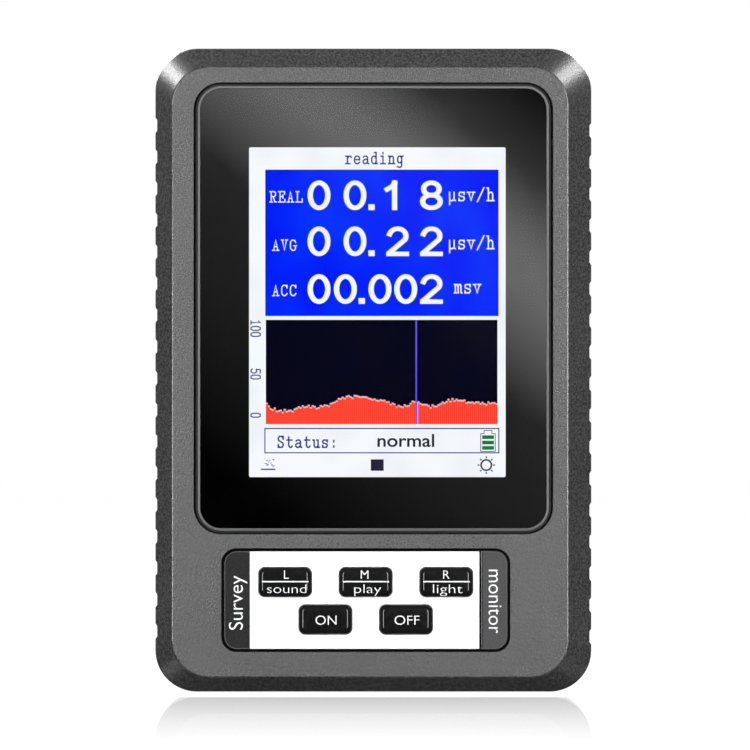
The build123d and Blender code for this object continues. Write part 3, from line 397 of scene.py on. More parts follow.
# Strokes of the screen's small letters: x runs 0 to 4, capitals are 6 high and small letters 4.
STROKES = {
    "A": "0,0 1.4,0; 2.6,0 4,0; .7,0 2,6 3.3,0; 1.2,2.1 2.8,2.1",
    "C": "3.6,4.5 3.6,6; 3.6,4.7 2.8,5.8 1.4,6 .4,5 .2,3 .4,1 1.4,0 2.6,0 3.7,1.2",
    "E": "0,0 4,0 4,1.5; 0,6 3.8,6 3.8,4.6; .9,0 .9,6; .9,3.1 2.7,3.1; 2.7,4 2.7,2.2",
    "G": "3.5,4.6 2.8,5.8 1.4,6 .4,5 .2,3 .4,1 1.4,0 2.6,0 3.4,.8 3.4,2.5; 2.4,2.6 4.1,2.6",
    "L": "0,6 1.9,6; .9,6 .9,0; 0,0 3.9,0 3.9,1.8",
    "R": "0,0 1.8,0; .9,0 .9,6; 0,6 2.8,6 3.6,5.3 3.6,3.8 2.8,3.1 .9,3.1; 2,3.1 3.3,0 4.1,0",
    "S": "3.5,4.5 3.5,6; 3.5,5 2.7,6 1.2,6 .5,5.1 .6,3.9 3.2,2.4 3.6,1.2 2.8,0 1.2,0 .5,1; .5,0 .5,1.5",
    "V": "0,6 1.4,6; 2.6,6 4,6; .7,6 2,0 3.3,6",
    "a": ".6,3.5 1.3,4 2.6,4 3.2,3.3 3.2,.5 3.6,0 4,0; 3.2,2.4 1.2,2.2 .4,1.5 .4,.6 1.1,0 2.2,0 3.2,.9",
    "d": "2.2,6 3.2,6 3.2,0 4,0; 3.2,3 2.4,4 1.3,4 .4,3 .4,1 1.3,0 2.4,0 3.2,1",
    "e": ".5,2.1 3.6,2.1 3.5,3.2 2.7,4 1.3,4 .4,3 .4,1 1.3,0 2.7,0 3.6,.8",
    "g": "4,4 3.1,4 3.1,-1.1 2.4,-1.9 1,-1.9 .5,-1.5; 3.1,3 2.3,4 1.3,4 .5,3 .5,1.4 1.3,.5 2.3,.5 3.1,1.4",
    "h": ".2,6 1,6 1,0; .2,0 1.8,0; 1,3 1.9,4 2.7,4 3.3,3.3 3.3,0; 2.5,0 4.1,0",
    "i": ".8,4 2.1,4 2.1,0; .6,0 3.6,0; 2.1,5.3 2.1,5.9",
    "m": "0,4 .6,4 .6,0; 0,0 1.2,0; .6,3.2 1.2,4 1.7,4 2.1,3.4 2.1,0;"
         "2.1,3.2 2.7,4 3.2,4 3.6,3.4 3.6,0 4.2,0",
    "n": ".1,4 .9,4 .9,0; .1,0 1.7,0; .9,3 1.8,4 2.7,4 3.3,3.3 3.3,0; 2.5,0 4.1,0",
    "r": ".2,4 1.3,4 1.3,0; .2,0 2.8,0; 1.3,2.8 2.3,4 3.4,4 3.7,3.3",
    "s": "3.4,3 3.4,4; 3.4,3.3 2.7,4 1.2,4 .6,3.3 .8,2.4 3.2,1.7 3.5,.9 2.8,0 1.2,0 .6,.7; .6,0 .6,1",
    "t": "1.5,5.6 1.5,.8 2.2,0 3,0 3.6,.7; .4,4 3.4,4",
    "u": "0,4 .8,4 .8,.8 1.4,0 2.3,0 3.2,1; 2.4,4 3.2,4 3.2,0 4,0",
    "v": "0,4 1.5,4; 2.5,4 4,4; .7,4 2,0 3.3,4",
    "µ": ".7,-1.9 .7,4; .7,.9 1.3,0 2.3,0 3.1,.9; 3.1,4 3.1,.3 3.8,0",
    "/": ".2,-.5 3.8,6.2",
    ":": "2,.1 2,.8; 2,3 2,3.7",
    "0": "1.2,0 .5,1.4 .5,4.6 1.2,6 2.8,6 3.5,4.6 3.5,1.4 2.8,0 1.2,0",
    "1": ".9,4.8 2.1,6 2.1,0; .8,0 3.4,0",
    "5": "3.4,6 .9,6 .7,3.4 2.5,3.7 3.5,2.8 3.5,1 2.6,0 1.2,0 .5,.8",
}


def stroke_words(solid, text, start, pitch, letter_width, cap_height, pen, front_y, back_y, turn=0.0):
    """Small screen letters drawn with a pen, from the left end of their baseline."""
    facing = Matrix.Rotation(math.radians(turn), 2)
    for place, letter in enumerate(text):
        for stroke in STROKES[letter].split(";"):
            points = [[float(value) for value in point.split(",")] for point in stroke.split()]
            path = [
                Vector(start) + facing @ Vector((place * pitch + x * letter_width / 4, y * cap_height / 6))
                for x, y in points
            ]
            pen_line(solid, path, pen, front_y, back_y)


# Large digits: half-width 1 and half-height 1 about the middle, before the pen is laid on.
def digit_paths(digit):
    """Pen paths of one large digit, with whether each closes on itself."""
    if digit == "0":
        return [(oval(0, 0, 2, 2), True)]
    if digit == "8":
        return [(oval(0, 0.5, 1.76, 1.0, 28), True), (oval(0, -0.49, 2, 1.02, 28), True)]
    if digit == "1":
        return [([(0.28, -1), (0.28, 1)], False), ([(-0.56, 0.46), (0.0, 0.7), (0.28, 0.97)], False)]
    bow = [Vector((math.cos(angle), math.sin(angle))) for angle in
           [math.radians(165 - 15 * step) for step in range(14)]]
    path = [(0.02 + 0.94 * point.x, 0.42 + 0.58 * point.y) for point in bow]
    return [(path + [(-0.8, -0.86)], False), ([(-0.98, -1), (1.0, -1)], False)]


def large_digit(solid, digit, middle, size, pen, front_y, back_y):
    """One large digit; its outer size is size, and pen is the width of its upright and level strokes."""
    reach = (size[0] - pen[0]) / 2, (size[1] - pen[1]) / 2
    for path, closed in digit_paths(digit):
        points = [
            Vector((middle[0] + point[0] * reach[0], middle[1] + point[1] * reach[1])) for point in path
        ]
        pen_line(solid, points, pen[0], front_y, back_y, height=pen[1], closed=closed)


# ---- finishes ---------------------------------------------------------------------------------
def new_finish(name):
    """A finish with one shader, and the nodes that tell where a point lies on the piece."""
    finish = bpy.data.materials.new(name)
    finish.use_nodes = True
    tree = finish.node_tree
    tree.nodes.clear()
    end = tree.nodes.new("ShaderNodeOutputMaterial")
    shader = tree.nodes.new("ShaderNodeBsdfPrincipled")
    tree.links.new(shader.outputs["BSDF"], end.inputs["Surface"])
    place = tree.nodes.new("ShaderNodeTexCoord").outputs["Object"]
    return finish, tree, shader, place


def math_node(tree, operation, first, second=None):
    node = tree.nodes.new("ShaderNodeMath")
    node.operation = operation
    for socket, value in zip(node.inputs, (first, second)):
        if isinstance(value, (int, float)):
            socket.default_value = value
        elif value is not None:
            tree.links.new(value, socket)
    return node.outputs[0]


def stretched(tree, place, stretch):
    """The place with its axes drawn out, for brushed and drawn surfaces."""
    node = tree.nodes.new("ShaderNodeMapping")
    node.inputs["Scale"].default_value = stretch
    tree.links.new(place, node.inputs["Vector"])
    return node.outputs[0]


def mottle(tree, place, size, detail=2.0, rough=0.5):
    """Noise with spots of one size in millimetres."""
    node = tree.nodes.new("ShaderNodeTexNoise")
    node.inputs["Scale"].default_value = 1 / (size * MM)
    node.inputs["Detail"].default_value = detail
    node.inputs["Roughness"].default_value = rough
    tree.links.new(place, node.inputs["Vector"])
    return node.outputs["Fac"]


def cells(tree, place, size, feature="F1", output="Distance"):
    node = tree.nodes.new("ShaderNodeTexVoronoi")
    node.feature = feature
    node.inputs["Scale"].default_value = 1 / (size * MM)
    tree.links.new(place, node.inputs["Vector"])
    return node.outputs[output]


def between(tree, factor, low, high, at=(0.35, 0.65)):
    """Blends two colours where a factor passes from one value to another."""
    node = tree.nodes.new("ShaderNodeValToRGB")
    node.color_ramp.elements[0].position, node.color_ramp.elements[1].position = at
    node.color_ramp.elements[0].color, node.color_ramp.elements[1].color = low, high
    tree.links.new(factor, node.inputs["Fac"])
    return node.outputs["Color"]


def spread(tree, factor, low, high, at=(0.3, 0.7)):
    """Spreads a factor over a range of plain numbers."""
    node = tree.nodes.new("ShaderNodeMapRange")
    node.inputs["From Min"].default_value, node.inputs["From Max"].default_value = at
    node.inputs["To Min"].default_value, node.inputs["To Max"].default_value = low, high
    tree.links.new(factor, node.inputs["Value"])
    return node.outputs["Result"]


def mixed(tree, factor, one, other, how="MIX"):
    node = tree.nodes.new("ShaderNodeMix")
    node.data_type, node.blend_type = "RGBA", how
    for name, value in (("Factor", factor), ("A", one), ("B", other)):
        socket = next(s for s in node.inputs if s.name == name and (name == "Factor" or s.type == "RGBA"))
        if isinstance(value, (int, float, tuple)) or hasattr(value, "foreach_get"):
            socket.default_value = value
        else:
            tree.links.new(value, socket)
    return next(s for s in node.outputs if s.type == "RGBA")


def relief(tree, shader, height, depth, strength=1.0):
    """Raises the surface by a factor; depth is in millimetres."""
    node = tree.nodes.new("ShaderNodeBump")
    node.inputs["Distance"].default_value = depth * MM
    node.inputs["Strength"].default_value = strength
    tree.links.new(height, node.inputs["Height"])
    tree.links.new(node.outputs["Normal"], shader.inputs["Normal"])


def stripes(tree, place, axis, pitch, share):
    """1 on stripes across one axis and 0 between them; share is how much of the pitch they fill."""
    split = tree.nodes.new("ShaderNodeSeparateXYZ")
    tree.links.new(place, split.inputs[0])
    turns = math_node(tree, "MULTIPLY", split.outputs[axis], 1 / (pitch * MM))
    return math_node(tree, "LESS_THAN", math_node(tree, "FRACT", turns), share)


def beyond(tree, place, axis, limit):
    """1 past a limit on one axis, in millimetres."""
    split = tree.nodes.new("ShaderNodeSeparateXYZ")
    tree.links.new(place, split.inputs[0])
    return math_node(tree, "GREATER_THAN", split.outputs[axis], limit * MM)


def dimmed(tone, share):
    """A colour with its light cut to a share."""
    return tuple(value * share for value in tone[:3]) + (1,)


def surface(name, dark, light, rough, grain, depth,
            metal=0.0, shine=0.5, stretch=(1, 1, 1), coat=0.0, pores=False):
    """A finish with spots between two colours, uneven gloss and a fine relief."""
    finish, tree, shader, place = new_finish(name)
    if stretch != (1, 1, 1):
        place = stretched(tree, place, stretch)
    spots = cells(tree, place, grain) if pores else mottle(tree, place, grain, detail=3)
    tree.links.new(between(tree, spots, dark, light), shader.inputs["Base Color"])
    tree.links.new(spread(tree, spots, rough * 0.85, min(1, rough * 1.15)), shader.inputs["Roughness"])
    shader.inputs["Metallic"].default_value = metal
    shader.inputs["Specular IOR Level"].default_value = shine
    shader.inputs["Coat Weight"].default_value = coat
    relief(tree, shader, spots, depth)
    return finish


def lit(name, light, shade_of=None, grid=(0, 0), wander=0.0):
    """A finish of the lit screen: its colour, faint columns and slight unevenness."""
    finish, tree, shader, place = new_finish(name)
    tone = tuple(light)
    other = tuple(shade_of) if shade_of else tuple(min(1, value * 0.9 + 0.02) for value in tone[:3]) + (1,)
    patches = mottle(tree, place, 9, detail=1)
    glow = between(tree, patches, tone, other if wander else tone, at=(0.5 - wander / 2, 0.5 + wander))
    if grid[0]:
        columns = stripes(tree, place, "X", grid[0], 0.45)
        rows = stripes(tree, place, "Z", grid[0], 0.3)
        lines = math_node(tree, "MAXIMUM", columns, math_node(tree, "MULTIPLY", rows, 0.4))
        glow = mixed(tree, math_node(tree, "MULTIPLY", lines, grid[1]), glow, other)
    tree.links.new(glow, shader.inputs["Emission Color"])
    shader.inputs["Emission Strength"].default_value = 1.0
    shader.inputs["Base Color"].default_value = colour(4)
    shader.inputs["Specular IOR Level"].default_value = 0.0
    tree.links.new(spread(tree, patches, 0.5, 0.6), shader.inputs["Roughness"])
    return finish


# ---- geometry trees -----------------------------------------------------------------------------
def new_tree(name, **inputs):
    """An empty geometry tree with named inputs, and its nodes for input and output."""
    tree = bpy.data.node_groups.new(name, "GeometryNodeTree")
    kinds = {float: "NodeSocketFloat", int: "NodeSocketInt"}
    tree.interface.new_socket("Geometry", in_out="INPUT", socket_type="NodeSocketGeometry")
    for title, value in inputs.items():
        kind = kinds.get(type(value), "NodeSocketMaterial")
        if isinstance(value, tuple):
            kind = "NodeSocketVector"
        if isinstance(value, bpy.types.Object):
            kind = "NodeSocketObject"
        tree.interface.new_socket(title, in_out="INPUT", socket_type=kind)
    tree.interface.new_socket("Geometry", in_out="OUTPUT", socket_type="NodeSocketGeometry")
    return tree, tree.nodes.new("NodeGroupInput"), tree.nodes.new("NodeGroupOutput")


def add_node(tree, kind, links=None, values=None, **settings):
    """A node with its settings, plain values and links, given by socket name or number."""
    node = tree.nodes.new(kind)
    for name, value in settings.items():
        setattr(node, name, value)
    for name, value in (values or {}).items():
        node.inputs[name].default_value = value
    for name, socket in (links or {}).items():
        tree.links.new(socket, node.inputs[name])
    return node


def end_tree(tree, end, geometry, finish):
    """Ends a tree: instances made real and the finish set."""
    real = add_node(tree, "GeometryNodeRealizeInstances", {0: geometry})
    coat = add_node(tree, "GeometryNodeSetMaterial", {"Geometry": real.outputs[0], "Material": finish})
    tree.links.new(coat.outputs[0], end.inputs[0])


def grow(name, tree, inputs, base=None):
    """Runs a tree once and returns what it makes as a plain mesh."""
    carrier = bpy.data.objects.new(name + "_source", base or bpy.data.meshes.new(name + "_source"))
    bpy.context.scene.collection.objects.link(carrier)
    modifier = carrier.modifiers.new(name, "NODES")
    modifier.node_group = tree
    for socket in tree.interface.items_tree:
        if socket.item_type == "SOCKET" and socket.in_out == "INPUT" and socket.name in inputs:
            modifier[socket.identifier] = inputs[socket.name]
    graph = bpy.context.evaluated_depsgraph_get()
    mesh = bpy.data.meshes.new_from_object(carrier.evaluated_get(graph))
    mesh.name = name
    carrier.modifiers.remove(modifier)
    bpy.data.objects.remove(carrier)
    if not mesh.polygons:
        raise RuntimeError(f"the tree for {name} made nothing")
    return mesh


# ---- stage ------------------------------------------------------------------------------------
VIEW_AZIMUTH = 0.0
VIEW_ELEVATION = 0.0
VIEW_TARGET = (0.3, -8.5, 58.1)
VIEW_WIDTH = 137.6
VIEW_LENS = 400.0
VIEW_SENSOR = 36.0
FLOOR_GAP = 0.45                          # air left under the counter
PANEL_DISTANCE = 0.6                      # metres from the counter to the graded panel in front of it
PANEL_EDGES = (-0.09, 0.09, -0.04, 0.18)  # metres: left, right, bottom, top
LAMP_TARGET = (0, 0, 0.059)               # metres: the counter's middle
SIDE_LAMP_HEIGHT = 0.469                  # metres
GRADE_TILT = 51                           # degrees above level of the line that the panel's grade runs along
# how bright the panel looks in black gloss, as display values, by distance from the window's middle
PANEL_GRADE = ((-41, 0), (-15, 28), (3, 36), (20, 104), (26, 104), (37, 48), (50, 12))
BORDER_MIRROR = 0.116                     # share of light that the window's border mirrors


def aim(thing, target):
    """Turns a lamp or camera towards a point."""
    thing.rotation_mode = "QUATERNION"
    thing.rotation_quaternion = (Vector(target) - thing.location).to_track_quat("-Z", "Y")


def lamp(name, place, target, width, height, power):
    light = bpy.data.lights.new(name, "AREA")
    light.shape, light.size, light.size_y, light.energy = "RECTANGLE", width, height, power
    holder = bpy.data.objects.new(name, light)
    holder.location = place
    bpy.context.scene.collection.objects.link(holder)
    aim(holder, target)
    holder.visible_camera = False
    return holder


def stage_mesh(name, corners, finish):
    mesh = bpy.data.meshes.new(name)
    mesh.from_pydata(corners, [], [(0, 1, 2, 3)])
    mesh.materials.append(finish)
    piece = bpy.data.objects.new(name, mesh)
    bpy.context.scene.collection.objects.link(piece)
    return piece


def camera_place():
    """Where the camera stands, in metres."""
    turn, lift = math.radians(VIEW_AZIMUTH), math.radians(VIEW_ELEVATION)
    away = VIEW_WIDTH * MM * VIEW_LENS / VIEW_SENSOR
    back = Vector((math.sin(turn) * math.cos(lift), -math.cos(turn) * math.cos(lift), math.sin(lift)))
    return Vector(VIEW_TARGET) * MM + back * away


def floor_finish():
    """Pale floor: white to the eye, with a soft shadow and a reflection that fades towards the front."""
    finish = bpy.data.materials.new("pale_floor")
    finish.use_nodes = True
    tree = finish.node_tree
    tree.nodes.clear()
    add, link = tree.nodes.new, tree.links.new
    end, path, where = add("ShaderNodeOutputMaterial"), add("ShaderNodeLightPath"), add("ShaderNodeTexCoord")
    glow, matt, gloss = add("ShaderNodeEmission"), add("ShaderNodeBsdfDiffuse"), add("ShaderNodeBsdfGlossy")
    clear, lit_part, shiny, seen = (
        add("ShaderNodeBsdfTransparent"), add("ShaderNodeAddShader"), add("ShaderNodeMixShader"),
        add("ShaderNodeMixShader"),
    )
    glow.inputs["Color"].default_value = (1, 1, 1, 1)
    glow.inputs["Strength"].default_value = 0.99
    matt.inputs["Color"].default_value = (0.05, 0.05, 0.05, 1)
    gloss.inputs["Roughness"].default_value = 0.0
    gloss.inputs["Color"].default_value = (1, 1, 1, 1)
    split = add("ShaderNodeSeparateXYZ")
    link(where.outputs["Object"], split.inputs[0])
    share = math_node(tree, "POWER", spread(tree, split.outputs["Y"], 0.0, 1.0, at=(-0.25, -0.018)), 1.1)
    away = spread(tree, split.outputs["Y"], 0.45, 0.0, at=(-0.025, -0.0215))
    share = math_node(tree, "MULTIPLY", share, away)
    link(glow.outputs[0], lit_part.inputs[0])
    link(matt.outputs[0], lit_part.inputs[1])
    link(share, shiny.inputs[0])
    link(lit_part.outputs[0], shiny.inputs[1])
    link(gloss.outputs[0], shiny.inputs[2])
    link(path.outputs["Is Camera Ray"], seen.inputs[0])
    link(clear.outputs[0], seen.inputs[1])
    link(shiny.outputs[0], seen.inputs[2])
    link(seen.outputs[0], end.inputs["Surface"])
    return finish


def graded_panel_finish(eye, panel_y):
    """Soft panel whose brightness changes along one diagonal, as it shows in the window."""
    finish = bpy.data.materials.new("graded_panel")
    finish.use_nodes = True
    tree = finish.node_tree
    tree.nodes.clear()
    end, glow = tree.nodes.new("ShaderNodeOutputMaterial"), tree.nodes.new("ShaderNodeEmission")
    place = tree.nodes.new("ShaderNodeTexCoord").outputs["Object"]
    split = tree.nodes.new("ShaderNodeSeparateXYZ")
    tree.links.new(place, split.inputs[0])
    border_y = node_box("window_mask")[0].y * MM
    stretch = (border_y - panel_y) / (border_y - eye.y)
    # the window mirrors a point of the panel part of the way back towards the eye
    way = Vector((math.cos(math.radians(GRADE_TILT)), 0, math.sin(math.radians(GRADE_TILT)))) / MM
    per_x, per_z = way.x / (1 + stretch), way.z / (1 + stretch)
    zero = way.dot(eye) * stretch / (1 + stretch) - way.dot(node_centre("display_window")) * MM
    low, high = PANEL_GRADE[0][0], PANEL_GRADE[-1][0]
    along = math_node(tree, "ADD", math_node(tree, "MULTIPLY", split.outputs["X"], per_x),
                      math_node(tree, "MULTIPLY", split.outputs["Z"], per_z))
    along = math_node(tree, "MULTIPLY", math_node(tree, "ADD", along, zero - low), 1 / (high - low))
    ramp = tree.nodes.new("ShaderNodeValToRGB")
    points = ramp.color_ramp.elements
    while len(points) < len(PANEL_GRADE):
        points.new(0.5)
    for point, (position, value) in zip(points, PANEL_GRADE):
        point.position = (position - low) / (high - low)
        point.color = (linear(value),) * 3 + (1,)
    tree.links.new(along, ramp.inputs["Fac"])
    tree.links.new(ramp.outputs["Color"], glow.inputs["Color"])
    glow.inputs["Strength"].default_value = 1 / BORDER_MIRROR
    tree.links.new(glow.outputs[0], end.inputs["Surface"])
    return finish


def room_light(settings):
    """White to the eye; a dim even light otherwise, darker below in gloss."""
    world = bpy.data.worlds.new("room")
    bpy.context.scene.world = world
    world.use_nodes = True
    tree = world.node_tree
    tree.nodes.clear()
    add, link = tree.nodes.new, tree.links.new
    end, glow, path = add("ShaderNodeOutputWorld"), add("ShaderNodeBackground"), add("ShaderNodeLightPath")
    split, where = add("ShaderNodeSeparateXYZ"), add("ShaderNodeTexCoord")
    link(where.outputs["Generated"], split.inputs[0])
    shine = spread(tree, split.outputs["Z"], 0.04, settings.room_shine, at=(-0.12, 0.05))
    behind = spread(tree, split.outputs["Y"], 0.0, 1.0, at=(0.8, 0.9))
    shine = math_node(tree, "MAXIMUM", shine, behind)
    mirrored = math_node(tree, "MULTIPLY", path.outputs["Is Glossy Ray"],
                         math_node(tree, "SUBTRACT", shine, settings.ambient))
    seen = math_node(tree, "MULTIPLY", path.outputs["Is Camera Ray"], 1.0 - settings.ambient)
    strength = math_node(tree, "ADD", math_node(tree, "ADD", mirrored, seen), settings.ambient)
    glow.inputs["Color"].default_value = (1, 1, 1, 1)
    link(strength, glow.inputs["Strength"])
    link(glow.outputs[0], end.inputs["Surface"])


class COUNTER_OT_stage(bpy.types.Operator):
    """Makes the camera, lamps, graded panel and pale floor"""

    bl_idname = "counter.stage"
    bl_label = "Stage"

    def execute(self, context):
        settings = context.scene.counter_stage
        context.scene.view_settings.view_transform = "Standard"
        lens = bpy.data.cameras.new("camera")
        lens.lens, lens.sensor_width, lens.clip_start, lens.clip_end = VIEW_LENS, VIEW_SENSOR, 0.05, 20
        camera = bpy.data.objects.new("camera", lens)
        context.scene.collection.objects.link(camera)
        camera.location = camera_place()
        aim(camera, Vector(VIEW_TARGET) * MM)
        context.scene.camera = camera
        room_light(settings)
        half = settings.floor_side / 2
        low = cad_box[0].z - FLOOR_GAP * MM
        floor = [(-half, -half, low), (half, -half, low), (half, half, low), (-half, half, low)]
        stage_mesh("pale_floor", floor, floor_finish())
        eye = camera.location
        panel_y = -PANEL_DISTANCE
        left, right, bottom, top = PANEL_EDGES
        across_up = ((left, bottom), (right, bottom), (right, top), (left, top))
        corners = [(x, panel_y, z) for x, z in across_up]
        panel = stage_mesh("graded_panel", corners, graded_panel_finish(eye, panel_y))
        panel.visible_camera = panel.visible_diffuse = panel.visible_shadow = False
        for side in (-1, 1):
            lamp("front_lamp", (side * 0.42, -1.05, 0.12), LAMP_TARGET, 0.3, 0.4, settings.key_power)
            # the bevel is wider on the right, so that lamp stands further forward and is weaker
            side_place = (side * 0.44, 0.075 - side * 0.05, SIDE_LAMP_HEIGHT)
            lamp("side_lamp", side_place, LAMP_TARGET, 0.78, 0.18, settings.side_power * (1 - side * 0.1))
            lamp("low_lamp", (side * 0.5, 0.06, -0.35), LAMP_TARGET, 0.3, 0.16, settings.low_power)
            lamp("back_lamp", (side * 0.7, 1.1, 0.75), LAMP_TARGET, 0.6, 0.6, settings.back_power)
        return {"FINISHED"}


# ---- housing ----------------------------------------------------------------------------------
def sandy_plastic(settings):
    """Dark plastic with a sandy mould grain."""
    finish, tree, shader, place = new_finish("sandy_plastic")
    grain = settings.grain / MM
    sand = mottle(tree, place, grain, detail=1.5, rough=0.6)
    patches = mottle(tree, place, 16, detail=1)
    specks = between(tree, sand, tuple(settings.speck), tuple(settings.plastic), at=(0.38, 0.62))
    worn = mixed(tree, spread(tree, patches, 0.0, 0.12), specks, colour(84))
    tree.links.new(worn, shader.inputs["Base Color"])
    tree.links.new(spread(tree, sand, 0.33, 0.25), shader.inputs["Roughness"])
    shader.inputs["Specular IOR Level"].default_value = 1.0
    relief(tree, shader, sand, settings.relief / MM)
    return finish


class COUNTER_OT_housing(bpy.types.Operator):
    """Gives both halves of the housing their sandy plastic"""

    bl_idname = "counter.housing"
    bl_label = "Housing"

    def execute(self, context):
        dress("front_shell back_shell", sandy_plastic(context.scene.counter_housing))
        return {"FINISHED"}


# ---- window -----------------------------------------------------------------------------------
def clear_glass(settings):
    """Coated window glass with the faintest smears."""
    finish, tree, shader, place = new_finish("coated_glass")
    shader.inputs["Base Color"].default_value = tuple(settings.glass)
    shader.inputs["Transmission Weight"].default_value = 1.0
    shader.inputs["IOR"].default_value = 1.12
    smears = mottle(tree, stretched(tree, place, (1, 1, 0.3)), 6, detail=2)
    tree.links.new(spread(tree, smears, 0.0, 0.012, at=(0.45, 0.8)), shader.inputs["Roughness"])
    return finish


def ground_glass(settings):
    """Ground edge of the window: pale, matt and finely scratched."""
    ground = tuple(settings.ground)
    return surface("ground_glass_edge", dimmed(ground, 0.8), ground, 0.5, 0.3, 0.01)


GAP_LIP = 0.36                            # width of the lip next to the glass
GROOVE_SHADE_WIDTH = 0.36                           # width of a near-black ring of painted shade in the groove, between the lip and the housing


def border_print(settings):
    """Black print on the back of the glass, wet looking through it."""
    finish, tree, shader, place = new_finish("border_print")
    ink = tuple(settings.border)
    cloud = mottle(tree, place, 3, detail=2)
    tree.links.new(between(tree, cloud, ink, colour(4, 4, 5)), shader.inputs["Base Color"])
    tree.links.new(spread(tree, cloud, 0.02, 0.05), shader.inputs["Roughness"])
    shader.inputs["IOR"].default_value = 2.0
    return finish


class COUNTER_OT_window(bpy.types.Operator):
    """Makes the window with its ground edge, and finishes its print, tape and gasket"""

    bl_idname = "counter.window"
    bl_label = "Window"

    def execute(self, context):
        settings = context.scene.counter_window
        size, middle = GLASS_HIGH - GLASS_LOW, (GLASS_HIGH + GLASS_LOW) / 2
        edge, radius = settings.edge / MM, settings.corner / MM

        def outline(inset):
            return rounded(middle.x, middle.z, size.x - 2 * inset, size.z - 2 * inset, radius - inset, 16)

        solid = bmesh.new()
        front, back = GLASS_LOW.y, GLASS_HIGH.y
        layers = [
            (outline(0.08), back), (outline(0), back - 0.08), (outline(0), front + 0.24),
            (outline(0.04), front + 0.16), (outline(edge), front),
        ]
        stack(solid, layers, [0, 1, 1, 1, 1, 0])
        mesh = mesh_from("window_glass", solid, smooth=20)
        finished_piece("window_glass", mesh, [clear_glass(settings), ground_glass(settings)],
                       stands_for=["display_window"])
        # near-black ring in the groove round the glass: painted shade where the groove lies in shadow
        gap = bmesh.new()
        inner, ledge, outer = outline(-0.03), outline(-GAP_LIP), outline(-GAP_LIP - GROOVE_SHADE_WIDTH)
        hoop(gap, outer, ledge, front + 1.0, back + 0.1)
        mesh = mesh_from("window_gap_seal", gap)
        groove_shade = surface("groove_painted_shade", colour(8), colour(14), 0.8, 0.3, 0.01, shine=0.05)
        finished_piece("window_gap_seal", mesh, [groove_shade])
        gap = bmesh.new()
        hoop(gap, ledge, inner, front + 0.45, back + 0.1)
        lip = surface("gap_lip", colour(44), colour(56), 0.7, 0.3, 0.01, shine=0.05)
        finished_piece("window_gap_lip", mesh_from("window_gap_lip", gap), [lip])
        dress("window_mask", border_print(settings))
        dress("window_tape", surface("adhesive_tape", colour(18), colour(26), 0.6, 0.5, 0.01))
        dress("display_gasket", surface("foam_gasket", colour(12), colour(30), 0.9, 0.35, 0.04, pores=True))
        return {"FINISHED"}


# ---- screen -----------------------------------------------------------------------------------
LAYER = 0.02                              # thickness of each layer of the lit picture
READINGS = (                              # middle height, then each digit with its place across
    (8.77, (("0", 12.81), ("0", 19.4), (".", 22.44), ("1", 26.2), ("8", 33.4))),
    (17.2, (("0", 12.81), ("0", 19.4), (".", 22.44), ("2", 27.2), ("2", 33.4))),
    (25.95, (("0", 12.81), ("0", 17.64), (".", 20.65), ("0", 23.98), ("0", 28.7), ("2", 33.4))),
)
DIGIT_SIZE = (4.22, 5.45)
DIGIT_PEN = (0.98, 0.84)
BAR_HEIGHTS = (                           # share of the way across, height
    (0, 3.5), (0.09, 2.2), (0.17, 3.1), (0.23, 2.9), (0.35, 4.8), (0.5, 4.2),
    (0.6, 3.1), (0.65, 3.9), (0.72, 3.1), (0.82, 4.3), (0.9, 3.7), (1, 3.7),
)
BAR_SCALE = 10.0
GRAPH = (3.07, 31.6, 45.5, 50.7)          # left, top, right, bottom on the screen


def screen_layer(level):
    """Front and back y of one layer of the picture."""
    back = SCREEN_Y - level * LAYER
    return back - LAYER, back


def screen_rect(left, top, right, bottom):
    low, high = on_screen(left, bottom), on_screen(right, top)
    return box_outline(low[0], low[1], high[0], high[1])


def screen_piece(name, solid, finish):
    finished_piece(name, mesh_from(name, solid), [finish])


class COUNTER_OT_screen_fields(bpy.types.Operator):
    """Lays the white field, the reading panel, the graph's ground and the status box"""

    bl_idname = "counter.screen_fields"
    bl_label = "Screen fields"

    def execute(self, context):
        settings = context.scene.counter_screen
        solid = bmesh.new()
        plate(solid, screen_rect(-0.6, -0.6, SCREEN_WIDTH + 0.6, SCREEN_HEIGHT + 0.6), *screen_layer(0))
        screen_piece("screen_background", solid, lit("lit_white", settings.paper, wander=0.2))
        solid = bmesh.new()
        plate(solid, screen_rect(2.96, 4.07, 45.7, 30.9), *screen_layer(1))
        panel = lit("lit_blue", settings.reading, colour(0, 46, 254), grid=(0.5, 0.7), wander=0.2)
        screen_piece("screen_reading_panel", solid, panel)
        solid = bmesh.new()
        plate(solid, screen_rect(*GRAPH), *screen_layer(1))
        ground = lit("lit_black", settings.graph, colour(3, 3, 28), grid=(0.37, 0.25), wander=0.4)
        screen_piece("screen_graph_ground", solid, ground)
        solid = bmesh.new()
        outer, inner = screen_rect(2.8, 51.4, 45.86, 56.05), screen_rect(3.0, 51.6, 45.66, 55.85)
        hoop(solid, outer, inner, *screen_layer(1))
        screen_piece("screen_status_box", solid, lit("lit_ink", settings.ink))
        return {"FINISHED"}


